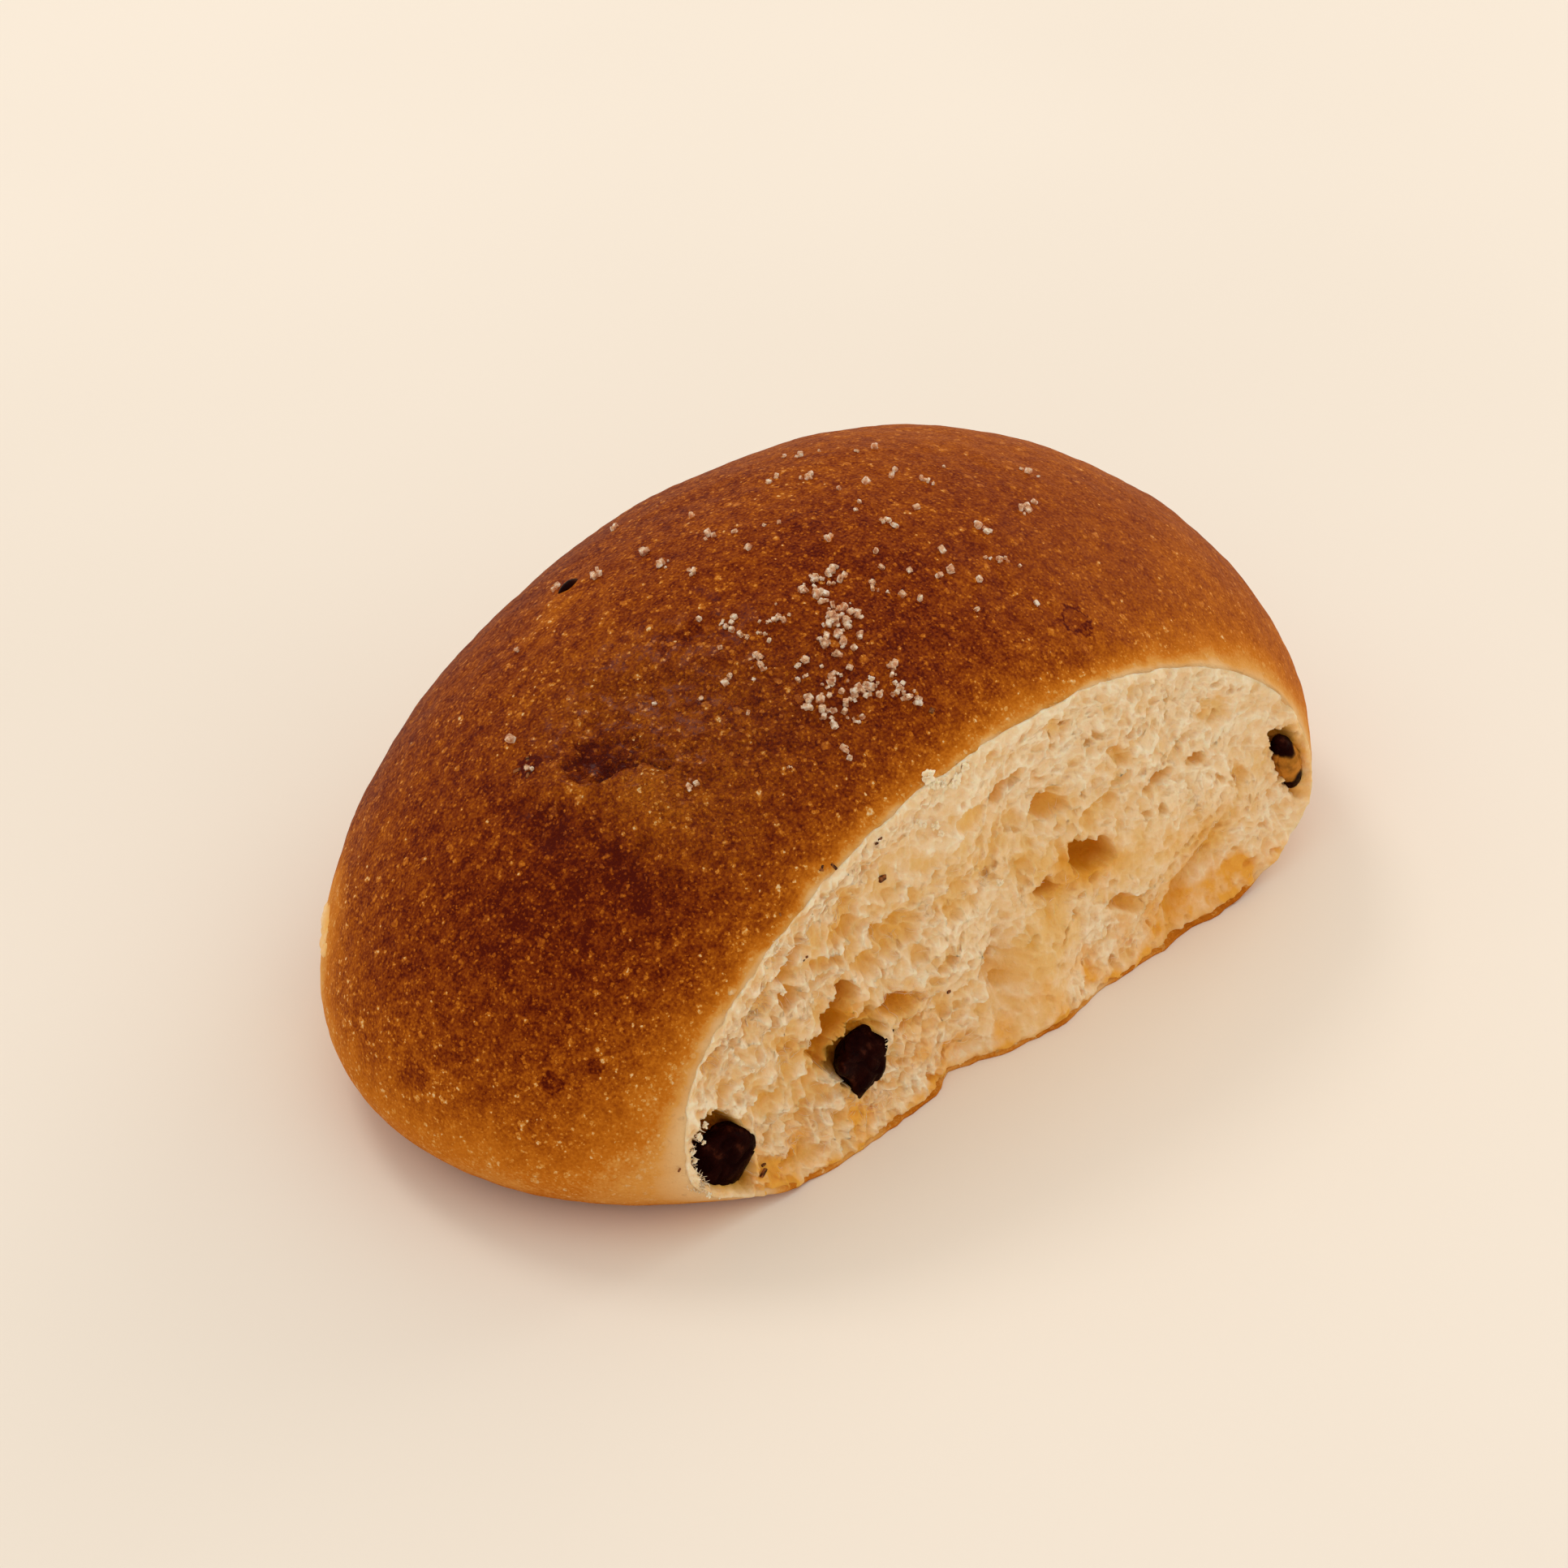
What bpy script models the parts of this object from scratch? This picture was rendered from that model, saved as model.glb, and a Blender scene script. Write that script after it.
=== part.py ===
"""A raisin maritozzo: an oval sweet bun, pulled off its neighbour in the tray along one long side.

The bun is one solid, with a domed crust, a flat base and a torn side of open crumb at -Y. Each raisin that
shows is a solid of its own, in a pocket of the bun. +X runs along the bun and +Z is up. The origin is under
the middle of the bun's box, on the surface that it rests on. Sizes in this file are in millimetres, and
METRE turns them into Blender's metres.
"""

import math

import bmesh
import bpy
import numpy as np
from mathutils import Euler, Matrix, Vector, noise

METRE = 0.001

# The bun's body, about the middle of its length
LENGTH = 110.0
BACK_WIDTH = 39.2  # from the long axis to the back of the bun
HEIGHT = 46.0
WAIST_HEIGHT = 8.6  # where the bun is widest
BELLY_DROP = 18.4  # the belly curves in below the waist as if it were this deep, and the base cuts it flat
PLAN_POWER = 2.11  # 2 is an ellipse seen from above, and more is squarer
DOME_POWER = 1.83
BELLY_POWER = 1.97
FAR_END_FULLER = 0.084  # the bun is wider towards +X by this share
FAR_END_TALLER = 0.03
BASE_ROUNDING = 1.6
FLAT_BELOW = 0.02  # a point of the base lower than this lies on the table

# The torn side, which stands at -Y, a little askew and leaning back
TORN_SETBACK = -26.3
TORN_SKEW = -0.058
TORN_LEAN = 0.08
TORN_LEAN_FROM = 15.0

# How fine the meshes are. The rim of the torn side has one point for each cell along the edge of its grid.
TEAR_COLUMNS = 32
TEAR_ROWS = 14
AROUND = 2 * (TEAR_COLUMNS + TEAR_ROWS)
BACK_TO_TEAR = 30
HALVINGS = 36

GAP = 0.32  # between a raisin and the pocket that it sits in
SKIN_DEPTH = 0.16  # how deep a raisin's wrinkles are, as a share of its size

# The body's mesh is drawn out from here to the surface
HEART = np.array([0.0, 0.0, 17.0])

# Soft dents of the crust: middle x and y, direction in degrees, half length, half width, depth
DENTS = (
    (-29.5, -5.0, -62.0, 8.5, 3.2, 1.9),
    (-38.5, -11.5, -50.0, 7.0, 4.0, 1.3),
    (-16.5, -1.0, -55.0, 6.0, 3.0, 0.7),
    (-33.8, -7.5, -60.0, 9.0, 2.6, -0.8),
)
DENTS_END_LOW = 14.0
DENTS_END_HIGH = 26.0

# Lumps and hollows of the torn side: middle x and z, half length, half height, depth into the bun
TEAR_RELIEF = (
    (-27.0, 0.0, 12.0, 5.0, -0.9),
    (-8.0, 1.0, 3.0, 3.5, 1.6),
    (2.5, 4.0, 5.0, 6.0, -1.6),
    (-1.5, 9.0, 1.8, 5.0, 2.4),
    (3.0, 24.0, 5.5, 5.0, 1.8),
    (-6.5, 26.0, 3.0, 6.0, -1.2),
    (-15.0, 20.0, 4.0, 5.0, 0.8),
    (24.0, 4.0, 6.0, 3.5, 1.6),
    (-28.0, 20.0, 6.0, 5.0, 0.9),
    (20.0, 14.0, 8.0, 4.0, -0.8),
    (-38.0, 17.0, 4.0, 5.0, 0.7),
    (14.0, 27.0, 4.0, 4.0, -0.6),
)

# Air holes in the torn side: middle x and z, half length, half height, reach into the bun, turn in degrees
AIR_HOLES = (
    (-38.4, 12.0, 2.4, 2.0, 3.0, 20.0),
    (-22.0, 14.4, 3.3, 2.4, 3.6, 35.0),
    (-14.4, 11.3, 3.3, 1.6, 3.4, -12.0),
    (11.0, 15.6, 3.2, 1.8, 3.8, -24.0),
    (4.8, 14.6, 1.8, 0.9, 2.6, -10.0),
    (6.2, 22.8, 2.4, 1.1, 2.6, -24.0),
)

# Raisins in the torn side: name, middle x and z, depth behind the torn side, half sizes, turns in degrees
TORN_RAISINS = (
    ("raisin_near_end", -36.9, 5.6, 2.4, (4.1, 2.6, 4.5), (10.0, 30.0, -8.0)),
    ("raisin_middle", -19.2, 7.4, 1.9, (3.9, 2.3, 3.7), (-12.0, -38.0, 14.0)),
    ("raisin_far_end", 38.2, 12.2, 1.2, (1.9, 1.8, 5.3), (5.0, -24.0, 0.0)),
)

# A raisin whose tip breaks the crust: name, middle x and y, depth of its middle, half sizes, turn
CRUST_RAISIN = ("raisin_in_crust", -15.2, 18.0, 1.15, (2.6, 1.8, 1.5), 62.0)

CRUST_BROWN = (0.235, 0.068, 0.016)
RAISIN_BLACK = (0.022, 0.008, 0.008)


def torn_y(x, z):
    """Where the torn side stands, with its lumps and hollows."""
    y = TORN_SETBACK + TORN_SKEW * x + TORN_LEAN * (z - TORN_LEAN_FROM)
    for mid_x, mid_z, half_x, half_z, depth in TEAR_RELIEF:
        y = y + depth * np.exp(-(((x - mid_x) / half_x) ** 2) - ((z - mid_z) / half_z) ** 2)
    return y


def smooth_max(a, b, blend):
    """The larger of the two, rounded over where they are within blend of each other."""
    share = np.maximum(blend - np.abs(a - b), 0.0) / blend
    return np.maximum(a, b) + share * share * blend / 4


def outside_body(points):
    """How far points are outside the untorn bun, in millimetres along the line to its middle."""
    x, y, z = points[..., 0], points[..., 1], points[..., 2]
    along = x / (LENGTH / 2)
    wide = y / (1 + FAR_END_FULLER * along)
    tall = z / (1 + FAR_END_TALLER * along)
    plan = (np.abs(along) ** PLAN_POWER + np.abs(wide / BACK_WIDTH) ** PLAN_POWER) ** (1 / PLAN_POWER)
    above = tall > WAIST_HEIGHT
    reach = np.where(above, HEIGHT - WAIST_HEIGHT, BELLY_DROP)
    power = np.where(above, DOME_POWER, BELLY_POWER)
    size = (plan**power + np.abs((tall - WAIST_HEIGHT) / reach) ** power) ** (1 / power)
    arm = np.sqrt(x * x + y * y + (z - WAIST_HEIGHT) ** 2)
    body = arm * (1 - 1 / np.maximum(size, 1e-6))
    return smooth_max(body, -z, BASE_ROUNDING)


def surface_along(start, directions, farthest):
    """Where rays from start, inside the untorn bun, leave it."""
    near = np.zeros(directions.shape[:-1])
    far = np.full(directions.shape[:-1], farthest)
    for _ in range(HALVINGS):
        middle = (near + far) / 2
        inside = outside_body(start + directions * middle[..., None]) < 0
        near = np.where(inside, middle, near)
        far = np.where(inside, far, middle)
    return start + directions * near[..., None]


def dent_depth(x, y):
    """How deep the crust is dented at a point seen from above."""
    depth = np.zeros(np.shape(x))
    for mid_x, mid_y, turn, half_long, half_wide, deep in DENTS:
        c, s = math.cos(math.radians(turn)), math.sin(math.radians(turn))
        along = ((x - mid_x) * c + (y - mid_y) * s) / half_long
        across = ((y - mid_y) * c - (x - mid_x) * s) / half_wide
        depth = depth + deep * np.exp(-along * along - across * across)
    return depth


def dented(points):
    """The crust with its dents, which fade out down the sides."""
    x, y, z = points[..., 0], points[..., 1], points[..., 2]
    fade = np.clip((z - DENTS_END_LOW) / (DENTS_END_HIGH - DENTS_END_LOW), 0.0, 1.0)
    lowered = z - dent_depth(x, y) * fade * fade * (3 - 2 * fade)
    return np.stack([x, y, lowered], axis=-1)


def direction(around, from_back):
    """A unit vector: from_back is its angle from +Y, and around turns about +Y from +X over +Z."""
    ring = np.sin(from_back)
    return np.stack([ring * np.cos(around), np.cos(from_back), ring * np.sin(around)], axis=-1)


def angle_of_tear(around):
    """For each angle around, the angle from +Y at which the body meets the torn side."""
    near = np.full(around.shape, math.pi / 2)
    far = np.full(around.shape, math.pi * 0.98)
    for _ in range(HALVINGS):
        middle = (near + far) / 2
        points = surface_along(HEART, direction(around, middle), LENGTH)
        behind = points[..., 1] > torn_y(points[..., 0], points[..., 2])
        near = np.where(behind, middle, near)
        far = np.where(behind, far, middle)
    return near


def even_angles():
    """Angles around, from straight down, whose points are evenly spaced along the rim of the torn side."""
    fine = np.linspace(-math.pi / 2, math.pi * 3 / 2, 721)
    rim = surface_along(HEART, direction(fine, angle_of_tear(fine)), LENGTH)
    run = np.concatenate([[0.0], np.cumsum(np.linalg.norm(np.diff(rim, axis=0), axis=1))])
    return np.interp(np.arange(AROUND) / AROUND * run[-1], run, fine)


def crust_rings():
    """Rings of points from the back of the bun to the rim of the torn side, starting with the back pole."""
    around = even_angles()
    tear = angle_of_tear(around)
    shares = np.arange(1, BACK_TO_TEAR + 1) / BACK_TO_TEAR
    rings = [direction(around, tear * share) for share in shares]
    points = surface_along(HEART, np.concatenate([[[0.0, 1.0, 0.0]], *rings]), LENGTH)
    points[:, 2] = np.where(points[:, 2] < FLAT_BELOW, 0.0, points[:, 2])
    return dented(points)


def tear_sides():
    """The rim's numbers along the four sides of the torn side's grid: base, top, far end and near end."""
    corner = TEAR_COLUMNS // 2
    columns, rows = np.arange(TEAR_COLUMNS + 1), np.arange(TEAR_ROWS + 1)
    base = (corner - columns) % AROUND
    top = corner + TEAR_ROWS + columns
    far = corner + rows
    near = (AROUND - corner - rows) % AROUND
    return base, top, far, near


def tear_grid(rim):
    """The torn side's points: a grid stretched between the four sides of its rim."""
    base, top, far, near = (rim[side] for side in tear_sides())
    u = (np.arange(TEAR_COLUMNS + 1) / TEAR_COLUMNS)[:, None, None]
    v = (np.arange(TEAR_ROWS + 1) / TEAR_ROWS)[None, :, None]
    across = (1 - v) * base[:, None] + v * top[:, None]
    along = (1 - u) * far[None] + u * near[None]
    corners = (1 - u) * ((1 - v) * base[0] + v * top[0]) + u * ((1 - v) * base[-1] + v * top[-1])
    points = across + along - corners
    points[..., 1] = torn_y(points[..., 0], points[..., 2])
    return points


def bun_mesh():
    """The bun before its pockets are cut, as one closed mesh."""
    crust = crust_rings()
    rim_start = len(crust) - AROUND
    grid = tear_grid(crust[rim_start:])
    numbers = np.arange((TEAR_COLUMNS - 1) * (TEAR_ROWS - 1)) + len(crust)
    numbers = np.pad(numbers.reshape(TEAR_COLUMNS - 1, TEAR_ROWS - 1), 1)
    base, top, far, near = tear_sides()
    numbers[:, 0], numbers[:, -1] = rim_start + base, rim_start + top
    numbers[0], numbers[-1] = rim_start + far, rim_start + near
    faces = []
    for i in range(AROUND):
        j = (i + 1) % AROUND
        faces.append((0, 1 + i, 1 + j))
        for start in range(1, rim_start, AROUND):
            faces.append((start + i, start + AROUND + i, start + AROUND + j, start + j))
    for low, high in zip(numbers, numbers[1:]):
        for row in range(TEAR_ROWS):
            faces.append((low[row], high[row], high[row + 1], low[row + 1]))
    points = np.concatenate([crust, grid[1:-1, 1:-1].reshape(-1, 3)])
    mesh = bpy.data.meshes.new("bun")
    mesh.from_pydata((points * METRE).tolist(), [], [tuple(map(int, face)) for face in faces])
    mesh.shade_smooth()
    mesh.set_sharp_from_angle(angle=math.radians(45))
    return mesh


def material(name, colour, roughness):
    made = bpy.data.materials.new(name)
    made.use_nodes = True
    shader = made.node_tree.nodes["Principled BSDF"]
    shader.inputs["Base Color"].default_value = (*colour, 1.0)
    shader.inputs["Roughness"].default_value = roughness
    shader.inputs["Metallic"].default_value = 0.0
    return made


def put(name, mesh, finish=None):
    made = bpy.data.objects.new(name, mesh)
    bpy.context.scene.collection.objects.link(made)
    if finish:
        mesh.materials.append(finish)
    return made


def ball(name, subdivisions):
    """A ball of triangles with a radius of 1."""
    made = bmesh.new()
    bmesh.ops.create_icosphere(made, subdivisions=subdivisions, radius=1.0)
    mesh = bpy.data.meshes.new(name)
    made.to_mesh(mesh)
    made.free()
    return mesh


def wrinkle(point, seed):
    """How far a raisin's skin stands in from its outline, from 0 to 1."""
    fold = abs(noise.noise(point * 1.7 + Vector((seed, 0, 0))))
    crease = abs(noise.noise(point * 3.4 + Vector((0, seed, 0))))
    return max(0.0, 1 - 1.8 * fold - 0.7 * crease)


def raisin(name, middle, half_sizes, turns, seed, finish):
    """A wrinkled raisin, and a hidden larger copy of its outline that cuts its pocket."""
    turn = Euler([math.radians(t) for t in turns]).to_matrix().to_4x4()
    place = Matrix.Translation(Vector(middle) * METRE) @ turn
    mesh = ball(name, 3)
    for vertex in mesh.vertices:
        outward = vertex.co.normalized()
        depth = SKIN_DEPTH * wrinkle(outward, seed)
        vertex.co = Vector([o * h * (1 - depth) * METRE for o, h in zip(outward, half_sizes)])
    mesh.shade_smooth()
    made = put(name, mesh, finish)
    made.matrix_world = place
    pocket_mesh = ball(name + "_pocket", 3)
    for vertex in pocket_mesh.vertices:
        outward = vertex.co.normalized()
        vertex.co = Vector([o * (h + GAP) * METRE for o, h in zip(outward, half_sizes)])
    pocket = put(name + "_pocket", pocket_mesh)
    pocket.matrix_world = place
    return made, pocket


def torn_raisins(finish):
    """The raisins that show in the torn side, each with its pocket."""
    made = []
    for number, (name, x, z, depth, half_sizes, turns) in enumerate(TORN_RAISINS):
        middle = (x, torn_y(x, z) + depth, z)
        made.append(raisin(name, middle, half_sizes, turns, 3.1 * number, finish))
    return made


def crust_raisin(finish):
    """The raisin whose tip breaks the crust, with its pocket."""
    name, x, y, depth, half_sizes, turn = CRUST_RAISIN
    start = np.array([x, y, WAIST_HEIGHT])
    top = dented(surface_along(start, np.array([0.0, 0.0, 1.0]), HEIGHT))[2]
    slope = surface_along(start + np.array([0.0, 1.0, 0.0]), np.array([0.0, 0.0, 1.0]), HEIGHT)[2] - top
    tip = math.degrees(math.atan(slope))
    return raisin(name, (x, y, top - depth), half_sizes, (tip, 0.0, turn), 11.0, finish)


def air_hole(number, mid_x, mid_z, half_x, half_z, reach, turn):
    """A hidden lumpy ellipsoid that cuts one air hole."""
    mesh = ball(f"air_hole_{number}", 2)
    for vertex in mesh.vertices:
        outward = vertex.co.normalized()
        lump = 1 + 0.12 * noise.noise(outward * 1.5 + Vector((number * 7.0, 0, 0)))
        vertex.co = Vector([o * h * lump * METRE for o, h in zip(outward, (half_x, reach, half_z))])
    made = put(mesh.name, mesh)
    middle = Vector((mid_x, torn_y(mid_x, mid_z), mid_z)) * METRE
    made.matrix_world = Matrix.Translation(middle) @ Matrix.Rotation(math.radians(-turn), 4, "Y")
    return made


def cut(bun, cutter):
    cutter.hide_render = True
    cutter.display_type = "WIRE"
    modifier = bun.modifiers.new(cutter.name, "BOOLEAN")
    modifier.operation = "DIFFERENCE"
    modifier.solver = "EXACT"
    modifier.object = cutter


def centre_on_origin(bun, others):
    """Moves everything so that the origin is under the middle of the bun's box."""
    corners = np.array([tuple(vertex.co) for vertex in bun.data.vertices])
    low, high = corners.min(axis=0), corners.max(axis=0)
    shift = Vector((-(low[0] + high[0]) / 2, -(low[1] + high[1]) / 2, -low[2]))
    for made in [bun, *others]:
        made.matrix_world = Matrix.Translation(shift) @ made.matrix_world


def build():
    for old in list(bpy.data.objects):
        bpy.data.objects.remove(old, do_unlink=True)
    crust = material("crust", CRUST_BROWN, 0.45)
    skin = material("raisin", RAISIN_BLACK, 0.3)
    bun = put("bun", bun_mesh(), crust)
    pairs = [*torn_raisins(skin), crust_raisin(skin)]
    cutters = [pocket for _, pocket in pairs]
    cutters += [air_hole(number, *hole) for number, hole in enumerate(AIR_HOLES)]
    for cutter in cutters:
        cut(bun, cutter)
    centre_on_origin(bun, [made for made, _ in pairs] + cutters)


build()
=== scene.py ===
"""The looks of a raisin maritozzo: a brown oval bun, pulled off its neighbour along one long side.

The crust is one shell with a shallow recess on the torn side. The crumb fills that recess: its torn face is
worked out flat, as a field of open cells, hollows and beds, and then laid over the tear. Raisins, threads of
crumb, sugar crystals, raisin bits and the scar of a second neighbour are pieces of their own. Lengths are in
millimetres until METRE turns them into Blender's metres. The bun's own axes run through the middle of its
length, and MIDDLE brings them into the frame.
"""

import itertools
import math

import bmesh
import bpy
import numpy as np
from mathutils import Euler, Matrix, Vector


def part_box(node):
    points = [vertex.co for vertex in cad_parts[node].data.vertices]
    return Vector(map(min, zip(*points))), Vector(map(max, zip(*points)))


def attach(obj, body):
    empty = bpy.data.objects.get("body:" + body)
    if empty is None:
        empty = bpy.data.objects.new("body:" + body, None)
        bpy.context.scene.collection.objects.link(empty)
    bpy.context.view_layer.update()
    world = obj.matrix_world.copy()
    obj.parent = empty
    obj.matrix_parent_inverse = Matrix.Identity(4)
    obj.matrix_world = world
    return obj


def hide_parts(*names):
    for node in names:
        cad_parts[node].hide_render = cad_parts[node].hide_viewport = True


METRE = 0.001
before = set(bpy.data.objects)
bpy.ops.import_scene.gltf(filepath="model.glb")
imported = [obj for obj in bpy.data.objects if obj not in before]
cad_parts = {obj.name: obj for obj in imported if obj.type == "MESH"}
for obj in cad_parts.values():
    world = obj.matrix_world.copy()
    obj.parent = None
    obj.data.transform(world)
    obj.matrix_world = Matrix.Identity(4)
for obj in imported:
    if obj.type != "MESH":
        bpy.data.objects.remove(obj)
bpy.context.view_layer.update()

# The bun's body, as it is built. It is widest at WAIST_HEIGHT, and its belly would end BELLY_DROP below that
# if the base didn't cut it off. The powers say how square the plan, the dome and the belly are.
LENGTH = 110.0
BACK_WIDTH = 39.2
HEIGHT = 46.0
WAIST_HEIGHT = 8.6
BELLY_DROP = 18.4
PLAN_POWER = 2.11
DOME_POWER = 1.83
BELLY_POWER = 1.97
FAR_END_FULLER = 0.084
FAR_END_TALLER = 0.03
BASE_ROUNDING = 1.6
HEART = np.array([0.0, 0.0, 17.0])
TORN_SETBACK, TORN_SKEW, TORN_LEAN, TORN_LEAN_FROM = -26.3, -0.058, 0.08, 15.0
HALVINGS = 26

# Lumps and hollows of the torn side: middle x and z, half length, half height, depth into the bun
TEAR_RELIEF = (
    (-27.0, 0.0, 12.0, 5.0, -0.9),
    (-8.0, 1.0, 3.0, 3.5, 1.6),
    (2.5, 4.0, 5.0, 6.0, -1.6),
    (-1.5, 9.0, 1.8, 5.0, 2.4),
    (3.0, 24.0, 5.5, 5.0, 1.8),
    (-6.5, 26.0, 3.0, 6.0, -1.2),
    (-15.0, 20.0, 4.0, 5.0, 0.8),
    (24.0, 4.0, 6.0, 3.5, 1.6),
    (-28.0, 20.0, 6.0, 5.0, 0.9),
    (20.0, 14.0, 8.0, 4.0, -0.8),
    (-38.0, 17.0, 4.0, 5.0, 0.7),
    (14.0, 27.0, 4.0, 4.0, -0.6),
)


# ---------------------------------------------------------------- fields

NOISE_PRIMES = (73856093, 19349663, 83492791)
NOISE_TABLE = 2**16


def noise(points, size, seed):
    """Smooth noise from -1 to 1 with lumps of about the given size."""
    table = np.random.default_rng(seed).uniform(-1, 1, NOISE_TABLE).astype(np.float32)
    scaled = (points / size).astype(np.float32)
    corner = np.floor(scaled).astype(np.int64)
    part = scaled - corner
    ease = part * part * part * (part * (part * 6 - 15) + 10)
    total = np.zeros(scaled.shape[:-1], dtype=np.float32)
    for shifts in itertools.product((0, 1), repeat=3):
        key, weight = 0, 1.0
        for axis, (shift, prime) in enumerate(zip(shifts, NOISE_PRIMES)):
            key = key ^ (corner[..., axis] + shift) * prime
            weight = weight * (ease[..., axis] if shift else 1 - ease[..., axis])
        total += table[key & (NOISE_TABLE - 1)] * weight
    return total


def rise(value, low, high):
    """0 below low and 1 above high, with an eased step between."""
    share = np.clip((value - low) / (high - low), 0, 1)
    return share * share * (3 - 2 * share)


def along_across(a, b, degrees):
    """How far points on the plane of a and b lie along a direction on it, and how far to its side."""
    c, s = math.cos(math.radians(degrees)), math.sin(math.radians(degrees))
    return a * c + b * s, b * c - a * s


def oval_share(a, b, mid_a, mid_b, turn, half_long, half_wide):
    """The square of the distance from an oval's middle on the plane of a and b, 1 at its outline."""
    along, across = along_across(a - mid_a, b - mid_b, turn)
    return (along / half_long) ** 2 + (across / half_wide) ** 2


def blot(a, b, *where):
    """A soft oval spot, 1 at its middle."""
    return np.exp(-oval_share(a, b, *where))


def blots(a, b, spots):
    """The sum of soft oval spots, each with a strength after its place."""
    return sum(strength * blot(a, b, *where) for *where, strength in spots)


def smooth_max(a, b, blend):
    share = np.maximum(blend - np.abs(a - b), 0.0) / blend
    return np.maximum(a, b) + share * share * blend / 4


def plan_share(x, y):
    """How far along the bun x is, from -1 to 1, and how far out x and y are, 1 at the bun's outline."""
    along = x / (LENGTH / 2)
    wide = y / (1 + FAR_END_FULLER * along)
    out = (np.abs(along) ** PLAN_POWER + np.abs(wide / BACK_WIDTH) ** PLAN_POWER) ** (1 / PLAN_POWER)
    return along, out


def outside_body(points):
    """How far points are outside the whole bun, along the line to its middle."""
    x, y, z = points[..., 0], points[..., 1], points[..., 2]
    along, plan = plan_share(x, y)
    tall = z / (1 + FAR_END_TALLER * along)
    above = tall > WAIST_HEIGHT
    reach = np.where(above, HEIGHT - WAIST_HEIGHT, BELLY_DROP)
    power = np.where(above, DOME_POWER, BELLY_POWER)
    size = (plan**power + np.abs((tall - WAIST_HEIGHT) / reach) ** power) ** (1 / power)
    arm = np.sqrt(x * x + y * y + (z - WAIST_HEIGHT) ** 2)
    body = arm * (1 - 1 / np.maximum(size, 1e-6))
    return smooth_max(body, -z, BASE_ROUNDING)


def normalized(vectors):
    return vectors / np.maximum(np.linalg.norm(vectors, axis=-1, keepdims=True), 1e-9)


def outward(points):
    """The direction straight out of the whole bun at points near its skin."""
    step = 0.05
    slope = np.empty_like(points)
    for axis in range(3):
        shift = np.zeros(3)
        shift[axis] = step
        slope[..., axis] = outside_body(points + shift) - outside_body(points - shift)
    return normalized(slope)


def torn_y(x, z):
    """Where the torn side stands."""
    y = TORN_SETBACK + TORN_SKEW * x + TORN_LEAN * (z - TORN_LEAN_FROM)
    for mid_x, mid_z, half_x, half_z, depth in TEAR_RELIEF:
        y = y + depth * blot(x, z, mid_x, mid_z, 0.0, half_x, half_z)
    return y


def last_inside(shape, nearest, farthest, is_inside):
    """By halving, the largest values between two limits that are still inside."""
    near, far = np.full(shape, nearest), np.full(shape, farthest)
    for _ in range(HALVINGS):
        middle = (near + far) / 2
        inside = is_inside(middle)
        near = np.where(inside, middle, near)
        far = np.where(inside, far, middle)
    return near


def surface_from_heart(directions):
    """Where rays from the bun's heart leave the whole bun."""
    def inside(run):
        return outside_body(HEART + directions * run[..., None]) < 0
    return HEART + directions * last_inside(directions.shape[:-1], 0.0, LENGTH, inside)[..., None]


def direction(around, from_back):
    """A unit vector: from_back is its angle from +Y, and around turns about +Y from +X over +Z."""
    ring = np.sin(from_back)
    return np.stack([ring * np.cos(around), np.cos(from_back), ring * np.sin(around)], axis=-1)


def angle_of_tear(around):
    """For each angle around, the angle from +Y at which the body meets the torn side."""
    def behind(from_back):
        points = surface_from_heart(direction(around, from_back))
        return points[..., 1] > torn_y(points[..., 0], points[..., 2])
    return last_inside(around.shape, math.pi / 2, math.pi * 0.98, behind)


def rim_angles(count, base_share=1.0):
    """Angles around, from straight down, evenly spaced along the rim; under the base by base_share."""
    fine = np.linspace(-math.pi / 2, math.pi * 3 / 2, 1441)
    rim = surface_from_heart(direction(fine, angle_of_tear(fine)))
    run = np.linalg.norm(np.diff(rim, axis=0), axis=1)
    height = (rim[1:, 2] + rim[:-1, 2]) / 2
    run = run * (base_share + (1 - base_share) * rise(height, 0.0, 2.0))
    run = np.concatenate([[0.0], np.cumsum(run)])
    return np.interp(np.arange(count) / count * run[-1], run, fine)


def middle_of_bun():
    """How far the bun's own axes lie from the frame's."""
    low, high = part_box("bun")
    along = np.linspace(-1.0, 1.0, 401)
    back = BACK_WIDTH * (1 + FAR_END_FULLER * along) * (1 - np.abs(along) ** PLAN_POWER) ** (1 / PLAN_POWER)
    return np.array([(low[0] + high[0]) / 2 / METRE, high[1] / METRE - back.max(), low[2] / METRE])


MIDDLE = middle_of_bun()


# ---------------------------------------------------------------- making meshes

def placed_piece(name, mesh, finish):
    """A piece of the scene from its mesh."""
    mesh.materials.append(finish)
    made = bpy.data.objects.new(name, mesh)
    bpy.context.scene.collection.objects.link(made)
    return made


def piece_from(name, bm, finish, smooth):
    """A piece of the scene from a mesh in the making."""
    mesh = bpy.data.meshes.new(name)
    bm.to_mesh(mesh)
    bm.free()
    if smooth:
        mesh.shade_smooth()
    return placed_piece(name, mesh, finish)


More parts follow.
